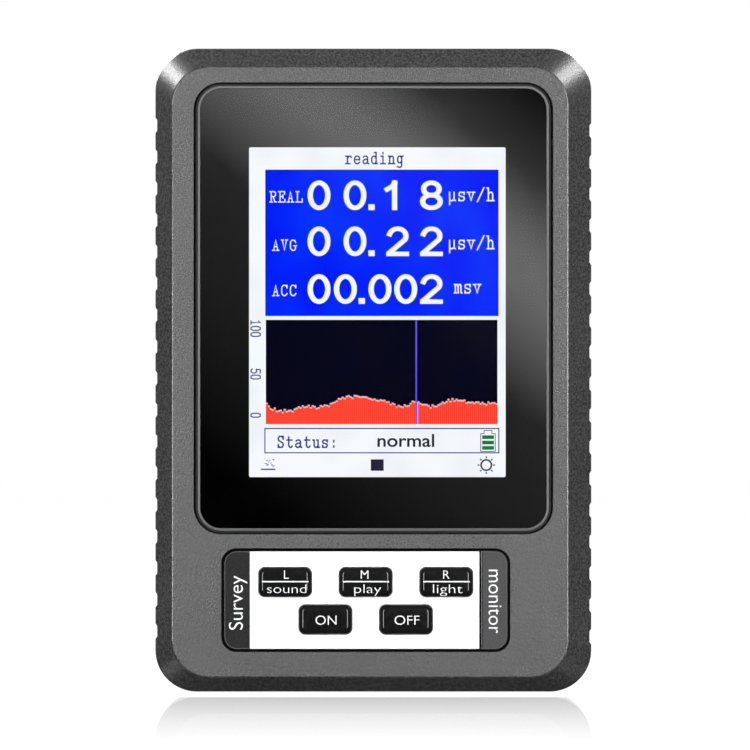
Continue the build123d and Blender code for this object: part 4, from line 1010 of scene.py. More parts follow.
def bar_tree(finish, tips):
    """Bars side by side along a line, or the tips of the same bars."""
    tree, start, end = new_tree(
        "bar_tips" if tips else "graph_bars",
        Start=(0.0, 0.0, 0.0), Count=1, Pitch=1.0, Thickness=1.0, Full=1.0,
        Wander=1.0, Seed=1, Tip=1.0, Finish=finish,
    )
    given = start.outputs
    step = add_node(tree, "ShaderNodeCombineXYZ", {"X": given["Pitch"]})
    line = add_node(tree, "GeometryNodeMeshLine",
                    {"Count": given["Count"], "Start Location": given["Start"], "Offset": step.outputs[0]})
    index = add_node(tree, "GeometryNodeInputIndex")
    share = math_node(tree, "DIVIDE", index.outputs[0], math_node(tree, "SUBTRACT", given["Count"], 1.0))
    profile = add_node(tree, "ShaderNodeFloatCurve", {"Value": share})
    curve = profile.mapping.curves[0]
    for at, height in BAR_HEIGHTS[1:-1]:
        curve.points.new(at, height / BAR_SCALE)
    curve.points[0].location = (0, BAR_HEIGHTS[0][1] / BAR_SCALE)
    curve.points[-1].location = (1, BAR_HEIGHTS[-1][1] / BAR_SCALE)
    profile.mapping.update()
    chance = add_node(tree, "FunctionNodeRandomValue", {"Seed": given["Seed"]}, {2: -1.0, 3: 1.0},
                      data_type="FLOAT")
    wander = math_node(tree, "MULTIPLY", chance.outputs[1], given["Wander"])
    height = math_node(tree, "ADD", math_node(tree, "MULTIPLY", profile.outputs[0], given["Full"]), wander)
    bar_size = add_node(tree, "ShaderNodeCombineXYZ", {"X": given["Pitch"], "Y": given["Thickness"]},
                        {"Z": 1.0})
    tree.links.new(given["Tip"] if tips else math_node(tree, "ADD", 1.0, 0.0), bar_size.inputs["Z"])
    block = add_node(tree, "GeometryNodeMeshCube", {"Size": bar_size.outputs[0]})
    half_height = math_node(tree, "MULTIPLY", bar_size.inputs["Z"].links[0].from_socket, 0.5)
    rise = add_node(tree, "ShaderNodeCombineXYZ", {"Z": half_height})
    stood = add_node(tree, "GeometryNodeTransform",
                     {"Geometry": block.outputs[0], "Translation": rise.outputs[0]})
    lift = add_node(tree, "ShaderNodeCombineXYZ", {"Z": height})
    grow_to = add_node(tree, "ShaderNodeCombineXYZ", {"Z": height}, {"X": 1.0, "Y": 1.0})
    placed = line.outputs[0]
    if tips:
        raised = add_node(tree, "GeometryNodeSetPosition", {"Geometry": placed, "Offset": lift.outputs[0]})
        placed = raised.outputs[0]
    bars = add_node(tree, "GeometryNodeInstanceOnPoints", {"Points": placed, "Instance": stood.outputs[0]})
    if not tips:
        tree.links.new(grow_to.outputs[0], bars.inputs["Scale"])
    end_tree(tree, end, bars.outputs[0], given["Finish"])
    return tree


class COUNTER_OT_screen_graph(bpy.types.Operator):
    """Grows the bars of the graph with their tips, and draws the cursor"""

    bl_idname = "counter.screen_graph"
    bl_label = "Screen graph"

    def execute(self, context):
        settings = context.scene.counter_screen
        left, _, right, bottom = GRAPH
        pitch = (right - left) / settings.bar_count
        x, z = on_screen(left + pitch / 2, bottom)
        red = lit("lit_red", settings.bars, colour(255, 92, 72), grid=(pitch, 0.75))
        pale = lit("lit_tips", settings.tips, colour(255, 210, 205), wander=0.6)
        for name, finish, level in (("screen_bars", red, 2), ("screen_bar_tips", pale, 3)):
            front, back = screen_layer(level)
            mesh = grow(name, bar_tree(finish, name.endswith("tips")), {
                "Start": (x * MM, (front + back) / 2 * MM, z * MM), "Count": settings.bar_count,
                "Pitch": pitch * MM, "Thickness": (back - front) * MM, "Full": BAR_SCALE * MM,
                "Wander": settings.bar_wander, "Seed": settings.seed, "Tip": 0.3 * MM, "Finish": finish,
            })
            finished_piece(name, mesh, [finish])
        solid = bmesh.new()
        plate(solid, screen_rect(30.48, GRAPH[1], 30.76, GRAPH[3]), *screen_layer(4))
        screen_piece("screen_cursor", solid,
                     lit("lit_cursor", settings.cursor, colour(120, 96, 255), wander=0.5))
        solid = bmesh.new()
        plate(solid, screen_rect(30.82, 46.7, 30.98, GRAPH[3]), *screen_layer(4))
        screen_piece("screen_cursor_glow", solid, lit("lit_cursor_glow", colour(255, 170, 225), wander=0.4))
        return {"FINISHED"}


class COUNTER_OT_screen_readings(bpy.types.Operator):
    """Sets the large digits and their names and units"""

    bl_idname = "counter.screen_readings"
    bl_label = "Screen readings"

    def execute(self, context):
        settings = context.scene.counter_screen
        white = lit("lit_lettering", settings.paper, wander=0.2)
        layer = screen_layer(2)
        solid = bmesh.new()
        for down, digits in READINGS:
            for digit, across in digits:
                if digit == ".":
                    low = down + DIGIT_SIZE[1] / 2
                    plate(solid, screen_rect(across - 0.58, low - 1.08, across + 0.58, low), *layer)
                else:
                    large_digit(solid, digit, on_screen(across, down), DIGIT_SIZE, DIGIT_PEN, *layer)
        screen_piece("screen_digits", solid, white)
        solid = bmesh.new()
        for text, across, down in (("REAL", 3.8, 10.0), ("AVG", 4.3, 18.85), ("ACC", 4.3, 27.15)):
            stroke_words(solid, text, on_screen(across, down), 1.6, 1.16, 1.9, 0.2, *layer)
        for text, across, down in (("µsv/h", 36.5, 9.75), ("µsv/h", 36.5, 18.55), ("msv", 37.6, 26.65)):
            stroke_words(solid, text, on_screen(across, down), 1.75, 1.36, 2.3, 0.24, *layer)
        screen_piece("screen_units", solid, white)
        return {"FINISHED"}


class COUNTER_OT_screen_words(bpy.types.Operator):
    """Sets the title, the graph's scale and the status line"""

    bl_idname = "counter.screen_words"
    bl_label = "Screen words"

    def execute(self, context):
        settings = context.scene.counter_screen
        layer = screen_layer(1)
        solid = bmesh.new()
        stroke_words(solid, "reading", on_screen(17.65, 2.98), 1.57, 1.14, 2.05, 0.26, *layer)
        stroke_words(solid, "Status:", on_screen(5.2, 54.95), 1.62, 1.2, 2.0, 0.28, *layer)
        for text, down in (("100", 31.6), ("50", 40.5), ("0", 48.6)):
            stroke_words(solid, text, on_screen(0.36, down), 1.1, 0.95, 1.68, 0.22, *layer, turn=-90)
        screen_piece("screen_small_words", solid, lit("lit_ink_words", settings.ink, wander=0.1))
        word = set_words("normal", on_screen(28.72, 54.82), 1.86, width=10.4, weight=0.014,
                         front_y=layer[0], depth=LAYER, rise=SMALL_RISE)
        screen_piece("screen_status_word", word, lit("lit_black_ink", settings.black_ink, wander=0.1))
        return {"FINISHED"}


def ray_tree(finish):
    """Short rays round a ring, pointing outwards."""
    tree, start, end = new_tree("sun_rays", Centre=(0.0, 0.0, 0.0), Count=1, Radius=1.0,
                                Ray=(1.0, 1.0, 1.0), Finish=finish)
    given = start.outputs
    ring = add_node(tree, "GeometryNodeMeshCircle", {"Vertices": given["Count"], "Radius": given["Radius"]})
    here = add_node(tree, "GeometryNodeInputPosition")
    outward = add_node(tree, "FunctionNodeAlignRotationToVector", {"Vector": here.outputs[0]}, axis="X")
    ray = add_node(tree, "GeometryNodeMeshCube", {"Size": given["Ray"]})
    rays = add_node(tree, "GeometryNodeInstanceOnPoints",
                    {"Points": ring.outputs[0], "Instance": ray.outputs[0], "Rotation": outward.outputs[0]})
    stood = add_node(tree, "GeometryNodeTransform",
                     {"Geometry": rays.outputs[0], "Translation": given["Centre"]},
                     {"Rotation": (math.radians(90), 0, 0)})
    end_tree(tree, end, stood.outputs[0], given["Finish"])
    return tree


def cloud_tree(finish):
    """Small dots scattered in a box."""
    tree, start, end = new_tree("dot_cloud", Low=(0.0, 0.0, 0.0), High=(1.0, 1.0, 1.0), Count=1,
                                Dot=(1.0, 1.0, 1.0),
                                Seed=1, Finish=finish)
    given = start.outputs
    spot = add_node(tree, "FunctionNodeRandomValue", {"Seed": given["Seed"]}, data_type="FLOAT_VECTOR")
    tree.links.new(given["Low"], spot.inputs[0])
    tree.links.new(given["High"], spot.inputs[1])
    dots = add_node(tree, "GeometryNodePoints", {"Count": given["Count"], "Position": spot.outputs[0]})
    dot = add_node(tree, "GeometryNodeMeshCube", {"Size": given["Dot"]})
    scattered = add_node(tree, "GeometryNodeInstanceOnPoints",
                         {"Points": dots.outputs[0], "Instance": dot.outputs[0]})
    end_tree(tree, end, scattered.outputs[0], given["Finish"])
    return tree


class COUNTER_OT_screen_icons(bpy.types.Operator):
    """Draws the battery, the dot cloud, the square and the sun"""

    bl_idname = "counter.screen_icons"
    bl_label = "Screen icons"

    def execute(self, context):
        settings = context.scene.counter_screen
        layer = screen_layer(1)
        depth, middle_y = LAYER * MM, sum(layer) / 2
        ink, black = lit("lit_icon_ink", settings.ink), lit("lit_icon_black", settings.black_ink, wander=0.2)
        solid = bmesh.new()
        case = [on_screen(across, down) for across, down in
                ((42.45, 52.45), (43.05, 52.45), (43.05, 51.85), (44.5, 51.85), (44.5, 52.45), (45.1, 52.45),
                 (45.1, 55.7), (42.45, 55.7))]
        pen_line(solid, case, 0.14, *layer, closed=True)
        plate(solid, screen_rect(2.15, 58.85, 4.8, 59.1), *layer)
        screen_piece("screen_battery_case", solid, ink)
        solid = bmesh.new()
        for step in range(3):
            top = 52.75 + 0.98 * step
            plate(solid, screen_rect(42.7, top, 44.87, top + 0.68), *layer)
        screen_piece("screen_battery_bars", solid,
                     lit("lit_green", settings.charge, colour(30, 140, 70), wander=0.5))
        solid = bmesh.new()
        plate(solid, screen_rect(22.3, 57.15, 24.66, 59.25), *layer)
        sun = on_screen(43.45, 58.2)
        hoop(solid, oval(*sun, 2.2, 2.2), oval(*sun, 1.6, 1.6), *layer)
        screen_piece("screen_square_and_sun", solid, black)
        rays = grow("screen_sun_rays", ray_tree(black), {
            "Centre": (sun[0] * MM, middle_y * MM, sun[1] * MM), "Count": 8, "Radius": 1.42 * MM,
            "Ray": (0.36 * MM, 0.24 * MM, depth), "Finish": black,
        })
        finished_piece("screen_sun_rays", rays, [black])
        low, high = on_screen(2.5, 58.5), on_screen(4.6, 57.1)
        dots = grow("screen_dot_cloud", cloud_tree(ink), {
            "Low": (low[0] * MM, middle_y * MM, low[1] * MM),
            "High": (high[0] * MM, middle_y * MM, high[1] * MM),
            "Count": settings.dot_count, "Dot": (0.24 * MM, depth, 0.15 * MM),
            "Seed": settings.seed, "Finish": ink,
        })
        finished_piece("screen_dot_cloud", dots, [ink])
        return {"FINISHED"}


# ---- keypad -----------------------------------------------------------------------------------
def keypad_film(settings):
    """Satin film with a painted reflection that makes its right end paler, and a thin dark band where the
    white field ends.
    """
    finish, tree, shader, place = new_finish("keypad_film")
    weave = mottle(tree, place, 0.25, detail=2)
    dark = between(tree, weave, tuple(settings.film), colour(27, 27, 28))
    # the paler tone right of the white field is a painted reflection on the dark film
    pale = between(tree, weave, tuple(settings.film_painted_reflection), colour(72, 72, 73))
    right = beyond(tree, place, "X", LABEL_HIGH.x + 0.2)
    tone = mixed(tree, right, dark, pale)
    black = math_node(tree, "SUBTRACT", beyond(tree, place, "X", LABEL_HIGH.x - 0.2), right)
    tone = mixed(tree, black, tone, colour(16))
    tree.links.new(tone, shader.inputs["Base Color"])
    tree.links.new(spread(tree, weave, 0.26, 0.32), shader.inputs["Roughness"])
    shader.inputs["Specular IOR Level"].default_value = 0.25
    relief(tree, shader, weave, 0.004)
    return finish


class COUNTER_OT_keypad(bpy.types.Operator):
    """Finishes the keypad film, draws its painted edge highlight, lays the white label and a ring of painted
    shade round the film
    """

    bl_idname = "counter.keypad"
    bl_label = "Keypad"

    def execute(self, context):
        settings = context.scene.counter_keypad
        dress("keypad_panel", keypad_film(settings))
        white = tuple(settings.label)
        dress("key_label",
              surface("white_label", dimmed(white, 0.96), white, 0.55, 0.3, 0.002))
        size, middle = PANEL_HIGH - PANEL_LOW, (PANEL_HIGH + PANEL_LOW) / 2
        # A pale ring just inside the film's edge: a painted highlight where the film's edge catches the
        # light, drawn flat on the film.
        solid = bmesh.new()
        front = PANEL_LOW.y
        outer = rounded(middle.x, middle.z, size.x - 0.5, size.z - 0.5, 2.25)
        inner = rounded(middle.x, middle.z, size.x - 0.76, size.z - 0.76, 2.12)
        hoop(solid, outer, inner, front - 0.012, front + 0.01)
        line = surface("painted_edge_highlight", colour(56), colour(66), 0.5, 0.2, 0.002)
        finished_piece("keypad_edge_line", mesh_from("keypad_edge_line", solid), [line])
        # A near-black ring over the gap round the film: painted shade in the gap. The same piece lays a dark
        # strip over the right end of the white label.
        solid = bmesh.new()
        outer = rounded(middle.x, middle.z, size.x + 0.66, size.z + 0.66, 2.77)
        inner = rounded(middle.x, middle.z, size.x - 0.2, size.z - 0.2, 2.4)
        hoop(solid, outer, inner, front - 0.03, front + 0.3)
        label_end = box_outline(LABEL_HIGH.x - 0.42, LABEL_LOW.z, LABEL_HIGH.x - 0.02, LABEL_HIGH.z)
        plate(solid, label_end, LABEL_LOW.y - 0.01, LABEL_LOW.y + 0.02)
        shade_ring = surface("keypad_rim", colour(6), colour(10), 0.85, 0.3, 0.004, shine=0.02)
        finished_piece("keypad_rim", mesh_from("keypad_rim", solid), [shade_ring])
        return {"FINISHED"}


SIDE_WORD_HEIGHT = 2.08


class COUNTER_OT_side_words(bpy.types.Operator):
    """Prints the upright words at both ends of the keypad"""

    bl_idname = "counter.side_words"
    bl_label = "Side words"

    def execute(self, context):
        lettering = tuple(context.scene.counter_keypad.lettering)
        print_white = surface("printed_white", colour(240), lettering, 0.5, 0.2, 0.002)
        front = PANEL_LOW.y - 0.015
        solid = set_words("Survey", (-23.9, 16.44), SIDE_WORD_HEIGHT, width=9.9, weight=-0.006,
                          front_y=front, depth=0.02, turn=90, rise=SMALL_RISE)
        gather(solid, set_words("monitor", (21.1, 16.65), SIDE_WORD_HEIGHT, width=11.65, weight=-0.006,
                                front_y=front, depth=0.02, turn=-90, rise=SMALL_RISE))
        finished_piece("keypad_side_words", mesh_from("keypad_side_words", solid),
                       [print_white])
        return {"FINISHED"}


# ---- keys -------------------------------------------------------------------------------------
KEY_WIDTH = 9.6
KEY_HEIGHT = 5.3
KEY_CORNER = 1.1
KEY_STEM = 1.5
PRINT_DEPTH = 0.07                        # how deep the print stands in a cap
# for each key: the sign above the line, how far it is across, the word below, how far across, its width
LEGENDS = {
    "sound": ("L", 0.24, "sound", 0.3, 7.17),
    "play": ("M", -0.2, "play", 0.37, 4.9),
    "light": ("R", 0.0, "light", 0.27, 5.4),
    "on": (None, 0.0, "ON", 0.12, 3.84),
    "off": (None, 0.0, "OFF", 0.18, 4.56),
}


def gloss_black(settings):
    """Polished black plastic with fine moulding haze."""
    cap = tuple(settings.cap)
    finish, tree, shader, place = new_finish("gloss_black_key")
    haze = mottle(tree, place, 0.6, detail=3)
    tree.links.new(between(tree, haze, dimmed(cap, 0.8), cap), shader.inputs["Base Color"])
    tree.links.new(spread(tree, haze, 0.1, 0.16), shader.inputs["Roughness"])
    shader.inputs["Specular IOR Level"].default_value = 0.5
    relief(tree, shader, haze, 0.001)
    return finish


def key_mesh(name, settings):
    """A key: crowned cap with a sloping edge, retaining wings and the stem to the switch."""
    low, high = node_box(name)
    plunger_low = node_box(name.replace("key_", "plunger_"))[0]
    middle = (low + high) / 2
    width, height = KEY_WIDTH, KEY_HEIGHT
    slope, crown, top = settings.slope / MM, settings.crown / MM, low.y
    wall_y, wing_y = top + 3.7, top + 4.5

    def outline(inset):
        radius = max(KEY_CORNER - inset * 0.75, 0.12)
        lean = min(inset, slope) * 0.08
        return rounded(middle.x - lean, middle.z, width - 2 * inset, height - 2 * inset, radius, 6)

    edge = top + 0.025 + crown
    layers = [(outline(0), wing_y), (outline(0), edge + 0.46)]
    layers += [(outline(0.05), edge + 0.35), (outline(0.14), edge + 0.28)]
    layers += [(outline(slope * share), edge + drop) for share, drop in
               ((0.5, 0.21), (0.8, 0.12), (1.0, 0.035), (1.12, 0.004))]
    for share in (0.0, 0.35, 0.7, 0.95):
        inset = slope * 1.3 + share * (height / 2 - slope * 1.3 - 0.1)
        layers.append((outline(inset), edge - crown * (1 - (1 - share) ** 2)))
    solid = bmesh.new()
    stack(solid, layers)
    plate(solid, rounded(middle.x, middle.z, high.x - low.x, height - 1.2, 0.2, 3), wall_y, wing_y)
    turned(solid, middle.x, middle.z, [(KEY_STEM, wing_y), (KEY_STEM, plunger_low.y)])
    return mesh_from(name, solid, smooth=22)


class COUNTER_OT_keys(bpy.types.Operator):
    """Makes the five key caps and prints their signs"""

    bl_idname = "counter.keys"
    bl_label = "Keys"

    def execute(self, context):
        settings = context.scene.counter_keys
        black = gloss_black(settings)
        lettering = tuple(context.scene.counter_keypad.lettering)
        white = surface("key_print", colour(236), lettering, 0.4, 0.2, 0.002)
        for name in KEY_NAMES:
            body, node = f"key_{name}_body", f"key_{name}"
            middle = node_centre(node)
            front = node_box(node)[0].y
            finished_piece(f"key_cap_{name}", key_mesh(node, settings),
                           [black], body, [node])
            sign, sign_x, word, word_x, word_width = LEGENDS[name]
            print_y = front + 0.002
            if sign:
                solid = set_words(sign, (middle.x + sign_x, middle.z + 0.62), 1.66, weight=-0.008,
                                  front_y=print_y, depth=PRINT_DEPTH)
                line = box_outline(middle.x - 4.2, middle.z - 0.02, middle.x + 4.28, middle.z + 0.22)
                plate(solid, line, print_y, print_y + PRINT_DEPTH)
                gather(solid, set_words(word, (middle.x + word_x, middle.z - 2.0), 1.32, width=word_width,
                                        weight=-0.014, front_y=print_y, depth=PRINT_DEPTH, rise=SMALL_RISE))
            else:
                solid = set_words(word, (middle.x + word_x, middle.z - 0.93), 1.78, width=word_width,
                                  weight=-0.008, front_y=print_y, depth=PRINT_DEPTH)
            finished_piece(f"key_sign_{name}", mesh_from(f"key_sign_{name}", solid),
                           [white], body)
        return {"FINISHED"}


# ---- back of the housing ------------------------------------------------------------------------
def screw_blank(settings):
    """One pan-head screw about the y axis, its head towards +y and its seat at y 0."""
    radius, pitch = settings.head / MM, settings.thread / MM
    head, shank, length = 1.7, 1.25, 16.0
    profile = [(0.35, -length), (0.9, -length + 0.7)]
    turns = int((length - 2.2) / pitch)
    for step in range(turns):
        y = -length + 1.0 + step * pitch
        profile += [(shank * 0.8, y), (shank, y + pitch * 0.42), (shank, y + pitch * 0.5)]
    profile += [(shank * 0.8, -1.0), (shank, -0.8), (shank, 0), (radius * 0.92, 0), (radius, 0.1)]
    profile += [(radius, head * 0.45), (radius * 0.96, head * 0.68), (radius * 0.84, head * 0.86),
                (radius * 0.6, head * 0.97), (radius * 0.3, head)]
    solid = bmesh.new()
    turned(solid, 0, 0, profile, 28)
    return mesh_from("case_screw_blank", solid, smooth=40)


def cross_cutter(settings):
    """The cross of the driver, tapered inwards."""
    reach, half, floor_y, top_y = settings.head / MM * 0.6, 0.3, 0.55, 1.9

    def cross(long, wide):
        points = [(wide, wide), (wide, long), (-wide, long), (-wide, wide), (-long, wide), (-long, -wide),
                  (-wide, -wide), (-wide, -long), (wide, -long), (wide, -wide), (long, -wide), (long, wide)]
        return [Vector(point) for point in points]

    solid = bmesh.new()
    narrow, full = cross(reach * 0.55, half * 0.7), cross(reach, half)
    stack(solid, [(narrow, floor_y), (full, 1.55), (full, top_y)])
    return mesh_from("cross_cutter", solid)


def loose_object(name, mesh):
    holder = bpy.data.objects.new(name, mesh)
    bpy.context.scene.collection.objects.link(holder)
    return holder


def screw_tree(finish, blank):
    """The same screw at every point, each turned by chance."""
    tree, start, end = new_tree("case_screws", Screw=blank, Seed=1, Finish=finish)
    given = start.outputs
    points = add_node(tree, "GeometryNodeMeshToPoints", {"Mesh": given["Geometry"]})
    source = add_node(tree, "GeometryNodeObjectInfo", {"Object": given["Screw"]})
    chance = add_node(tree, "FunctionNodeRandomValue", {"Seed": given["Seed"]}, {2: 0.0, 3: 1.5},
                      data_type="FLOAT")
    turn = add_node(tree, "ShaderNodeCombineXYZ", {"Y": chance.outputs[1]})
    screws = add_node(tree, "GeometryNodeInstanceOnPoints", {
        "Points": points.outputs[0], "Instance": source.outputs["Geometry"], "Rotation": turn.outputs[0],
    })
    end_tree(tree, end, screws.outputs[0], given["Finish"])
    return tree


class COUNTER_OT_screws(bpy.types.Operator):
    """Drives the four case screws and finishes the board screws"""

    bl_idname = "counter.screws"
    bl_label = "Screws"

    def execute(self, context):
        settings = context.scene.counter_screws
        zinc = surface("zinc_plate", colour(150), tuple(settings.zinc), 0.32, 0.5, 0.004, metal=1.0)
        blank = loose_object("screw_blank", screw_blank(settings))
        cutter = loose_object("cross_cutter", cross_cutter(settings))
        cut = blank.modifiers.new("recess", "BOOLEAN")
        cut.operation, cut.object, cut.solver = "DIFFERENCE", cutter, "EXACT"
        low, high = node_box("case_screws")
        seat = high.y - 1.7
        offset = settings.head / MM
        points = [(x * MM, seat * MM, z * MM) for x in (low.x + offset, high.x - offset)
                  for z in (low.z + offset, high.z - offset)]
        base = bpy.data.meshes.new("screw_places")
        base.from_pydata(points, [], [])
        choices = {"Screw": blank, "Seed": settings.seed, "Finish": zinc}
        mesh = grow("case_screw_set", screw_tree(zinc, blank), choices, base)
        bpy.data.objects.remove(blank)
        bpy.data.objects.remove(cutter)
        finished_piece("case_screw_set", mesh, [zinc], stands_for=["case_screws"])
        dress("board_screws", zinc)
        return {"FINISHED"}


class COUNTER_OT_rear_label(bpy.types.Operator):
    """Finishes the rear label and prints its blank form"""

    bl_idname = "counter.rear_label"
    bl_label = "Rear label"

    def execute(self, context):
        dress("rear_label",
              surface("label_film", colour(176), colour(186), 0.42, 0.35, 0.004, stretch=(1, 1, 0.2)))
        low, high = node_box("rear_label")
        middle = (low + high) / 2
        back, front = high.y + 0.012, high.y - 0.02
        solid = bmesh.new()
        outer = rounded(middle.x, middle.z, 32.4, 36.4, 1.0)
        hoop(solid, outer, rounded(middle.x, middle.z, 31.8, 35.8, 0.8), front, back)
        for z in (6, 12, 18, 24):
            rule = box_outline(middle.x - 15.9, low.z + z + 1.7, middle.x + 15.9, low.z + z + 1.95)
            plate(solid, rule, front, back)
        plate(solid, box_outline(middle.x - 3.0, low.z + 1.9, middle.x - 2.75, low.z + 25.7), front, back)
        for step in range(3):
            across = middle.x - 9 + 9 * step
            hoop(solid, oval(across, high.z - 6, 5, 5), oval(across, high.z - 6, 4.3, 4.3), front, back)
        ink = surface("label_ink", colour(44), colour(54), 0.5, 0.2, 0.002)
        finished_piece("rear_label_form", mesh_from("rear_label_form", solid), [ink])
        return {"FINISHED"}


# ---- inside -----------------------------------------------------------------------------------
def board_finish():
    """Green solder mask over copper runs, with gilt pads."""
    finish, tree, shader, place = new_finish("board_mask")
    runs = stripes(tree, place, "X", 1.9, 0.42)
    cross_runs = stripes(tree, place, "Z", 5.3, 0.16)
    blocks = math_node(tree, "GREATER_THAN", mottle(tree, place, 9, detail=0), 0.5)
    copper = math_node(tree, "MAXIMUM", math_node(tree, "MULTIPLY", runs, blocks), cross_runs)
    tone = mixed(tree, copper, colour(14, 74, 40), colour(24, 104, 56))
    pads = math_node(tree, "LESS_THAN", cells(tree, place, 4.2), 0.12)
    tone = mixed(tree, pads, tone, colour(206, 176, 104))
    tree.links.new(tone, shader.inputs["Base Color"])
    tree.links.new(spread(tree, mottle(tree, place, 2), 0.3, 0.4), shader.inputs["Roughness"])
    relief(tree, shader, math_node(tree, "MAXIMUM", copper, pads), 0.03)
    return finish


def striped(name, ground, stripe, axis, pitch, share, rough, metal=0.0, depth=0.01):
    """Stripes of one colour across another, such as contacts, wire turns or tracks."""
    finish, tree, shader, place = new_finish(name)
    bands = stripes(tree, place, axis, pitch, share)
    cloud = mottle(tree, place, 1.5)
    tone = mixed(tree, bands, ground, stripe)
    tree.links.new(mixed(tree, spread(tree, cloud, 0.0, 0.18), tone, colour(20)), shader.inputs["Base Color"])
    tree.links.new(math_node(tree, "MULTIPLY", bands, metal), shader.inputs["Metallic"])
    tree.links.new(spread(tree, cloud, rough * 0.9, rough * 1.1), shader.inputs["Roughness"])
    relief(tree, shader, bands, depth)
    return finish


def tube_glass():
    """Thin drawn glass of the counter tube, with faint draw lines."""
    finish, tree, shader, place = new_finish("tube_glass")
    shader.inputs["Transmission Weight"].default_value = 1.0
    shader.inputs["IOR"].default_value = 1.47
    shader.inputs["Base Color"].default_value = (0.93, 0.97, 0.96, 1)
    lines = mottle(tree, stretched(tree, place, (1, 1, 0.02)), 0.5)
    tree.links.new(spread(tree, lines, 0.0, 0.03), shader.inputs["Roughness"])
    return finish


class COUNTER_OT_display_module(bpy.types.Operator):
    """Finishes the display module and its ribbon"""

    bl_idname = "counter.display_module"
    bl_label = "Display module"

    def execute(self, context):
        dress("display_cell",
              surface("cell_glass", colour(16, 18, 24), colour(22, 25, 33), 0.12, 4, 0.001, coat=0.5))
        dress("display_backlight",
              surface("diffuser", colour(226, 230, 236), colour(240, 243, 248), 0.5, 0.9, 0.01, pores=True))
        dress("display_frame",
              surface("stamped_steel", colour(178), colour(196),
                      0.3, 0.4, 0.004, metal=1.0, stretch=(1, 1, 0.08)))
        dress("display_carrier", surface("carrier_plastic", colour(26), colour(36), 0.55, 0.5, 0.01))
        dress("display_flex",
              striped("ribbon", colour(176, 104, 34), colour(206, 142, 62), "X", 0.8, 0.5, 0.3))
        dress("flex_connector",
              striped("connector", colour(214, 208, 190), colour(190, 186, 176), "X", 0.8, 0.4, 0.5, 0.8))
        return {"FINISHED"}


class COUNTER_OT_board(bpy.types.Operator):
    """Finishes the board, switches, chips, converter and sounder"""

    bl_idname = "counter.board"
    bl_label = "Board"

    def execute(self, context):
        dress("main_board", board_finish())
        black = surface("switch_plastic", colour(24), colour(36), 0.5, 0.4, 0.008)
        dress("switch_bases", black)
        dress("switch_covers",
              surface("cover_steel", colour(186), colour(204),
                      0.3, 0.4, 0.004, metal=1.0, stretch=(0.1, 1, 1)))
        dress("chips", surface("chip_package", colour(28), colour(40), 0.6, 0.12, 0.006))
        dress("small_parts",
              striped("chip_parts", colour(40, 36, 34), colour(196, 196, 200), "Z", 1.0, 0.35, 0.4, 1.0))
        dress("converter_core", surface("ferrite", colour(52), colour(70), 0.7, 0.25, 0.02, pores=True))
        dress("converter_winding",
              striped("wire_turns", colour(96, 44, 20), colour(196, 112, 58), "Z", 0.3, 0.72, 0.3, 1.0, 0.08))
        dress("capacitors", surface("dipped_blue", colour(38, 84, 168), colour(54, 104, 190), 0.4, 1.2, 0.02))
        dress("crystal_can",
              surface("drawn_can", colour(188), colour(206),
                      0.25, 0.5, 0.003, metal=1.0, stretch=(1, 0.1, 1)))
        dress("sounder_case", surface("sounder_plastic", colour(22), colour(32), 0.5, 0.4, 0.01))
        dress("sounder_disc",
              surface("disc_brass", colour(186, 160, 96), colour(206, 182, 118), 0.3, 0.5, 0.004, metal=1.0))
        dress("sounder_coil",
              striped("coil_turns", colour(110, 52, 22), colour(204, 120, 64),
                      "Y", 0.25, 0.7, 0.3, 1.0, 0.06))
        dress(" ".join(f"plunger_{name}" for name in KEY_NAMES),
              surface("plunger_plastic", colour(222, 220, 212), colour(234, 232, 226), 0.45, 0.4, 0.005))
        dress(" ".join(f"dome_{name}" for name in KEY_NAMES),
              surface("spring_steel", colour(196, 190, 176), colour(212, 206, 192),
                      0.25, 0.3, 0.003, metal=1.0))
        return {"FINISHED"}


class COUNTER_OT_tube(bpy.types.Operator):
    """Finishes the counter tube and its clips"""

    bl_idname = "counter.tube"
    bl_label = "Counter tube"

    def execute(self, context):
        dress("tube_envelope", tube_glass())
        dress("tube_cathode",
              surface("cathode_sheet", colour(140), colour(170),
                      0.35, 0.7, 0.006, metal=1.0, stretch=(1, 1, 0.06)))
        dress("tube_anode", surface("anode_wire", colour(190), colour(206), 0.3, 0.2, 0.002, metal=1.0))
        dress("tube_caps",
              surface("nickel_caps", colour(196, 192, 182), colour(214, 210, 200),
                      0.18, 0.6, 0.003, metal=1.0))
        dress("tube_clips",
              surface("clip_steel", colour(186), colour(202),
                      0.3, 0.4, 0.004, metal=1.0, stretch=(1, 0.1, 1)))
        return {"FINISHED"}


class COUNTER_OT_battery(bpy.types.Operator):
    """Finishes the battery, its leads and its plug"""

    bl_idname = "counter.battery"
    bl_label = "Battery"

    def execute(self, context):
        dress("battery_cell",
              surface("laminated_foil", colour(188, 188, 192), colour(206, 206, 210),
                      0.35, 2.5, 0.08, metal=0.9))
        dress("battery_pad", surface("foam_pad", colour(34), colour(56), 0.95, 0.4, 0.05, pores=True))
        dress("battery_header battery_plug",
              surface("plug_plastic", colour(222, 216, 200), colour(236, 231, 218), 0.5, 0.5, 0.006))
        dress("battery_lead_red",
              surface("red_sleeve", colour(176, 18, 18), colour(204, 28, 26), 0.4, 0.3, 0.004))
        dress("battery_lead_black", surface("black_sleeve", colour(20), colour(34), 0.4, 0.3, 0.004))
        return {"FINISHED"}


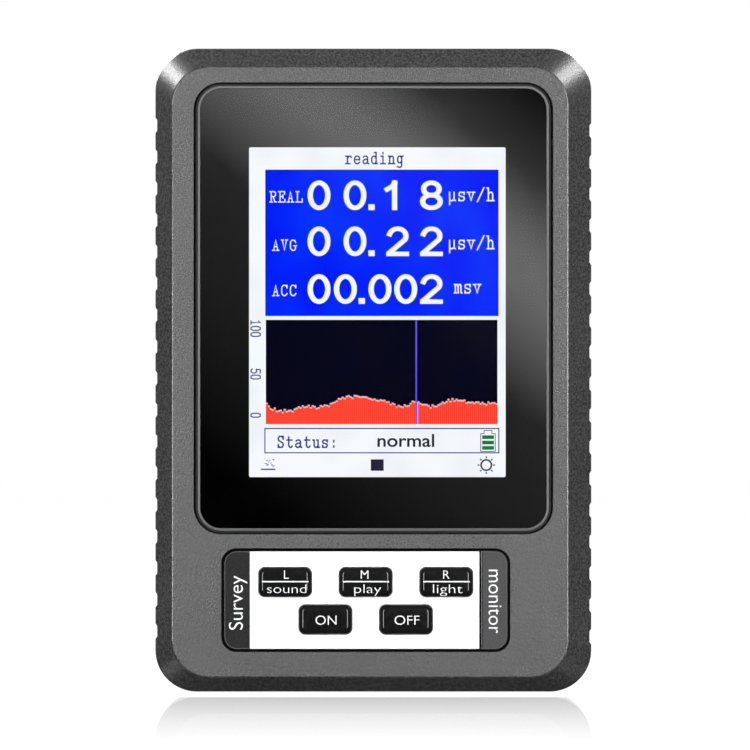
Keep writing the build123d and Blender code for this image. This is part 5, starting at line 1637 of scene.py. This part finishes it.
class COUNTER_OT_charging_port(bpy.types.Operator):
    """Finishes the charging socket"""

    bl_idname = "counter.charging_port"
    bl_label = "Charging port"

    def execute(self, context):
        dress("port_shell",
              surface("port_steel", colour(172), colour(190),
                      0.25, 0.3, 0.003, metal=1.0, stretch=(1, 1, 0.1)))
        dress("port_tongue",
              striped("contact_tongue", colour(24), colour(214, 178, 98), "X", 0.5, 0.5, 0.35, 1.0))
        return {"FINISHED"}


# ---- add-on -----------------------------------------------------------------------------------
OPERATORS = (
    COUNTER_OT_stage,
    COUNTER_OT_housing,
    COUNTER_OT_window,
    COUNTER_OT_screen_fields,
    COUNTER_OT_screen_graph,
    COUNTER_OT_screen_readings,
    COUNTER_OT_screen_words,
    COUNTER_OT_screen_icons,
    COUNTER_OT_keypad,
    COUNTER_OT_side_words,
    COUNTER_OT_keys,
    COUNTER_OT_screws,
    COUNTER_OT_rear_label,
    COUNTER_OT_display_module,
    COUNTER_OT_board,
    COUNTER_OT_tube,
    COUNTER_OT_battery,
    COUNTER_OT_charging_port,
)


class COUNTER_PT_panel(bpy.types.Panel):
    """Lists the counter's settings and steps"""

    bl_label = "Geiger counter"
    bl_space_type = "VIEW_3D"
    bl_region_type = "UI"
    bl_category = "Counter"

    def draw(self, context):
        for operator in OPERATORS:
            self.layout.operator(operator.bl_idname)
        for name, group in SETTINGS.items():
            box = self.layout.box()
            box.label(text=name.replace("_", " ").capitalize())
            for setting in group.__annotations__:
                box.prop(getattr(context.scene, name), setting)


def register():
    for group in SETTINGS.values():
        bpy.utils.register_class(group)
    for name, group in SETTINGS.items():
        setattr(bpy.types.Scene, name, PointerProperty(type=group))
    for kind in (*OPERATORS, COUNTER_PT_panel):
        bpy.utils.register_class(kind)


def unregister():
    for kind in (COUNTER_PT_panel, *reversed(OPERATORS)):
        bpy.utils.unregister_class(kind)
    for name, group in SETTINGS.items():
        delattr(bpy.types.Scene, name)
        bpy.utils.unregister_class(group)


def main():
    register()
    for operator in OPERATORS:
        group, name = operator.bl_idname.split(".")
        getattr(getattr(bpy.ops, group), name)()


if __name__ == "__main__":
    main()
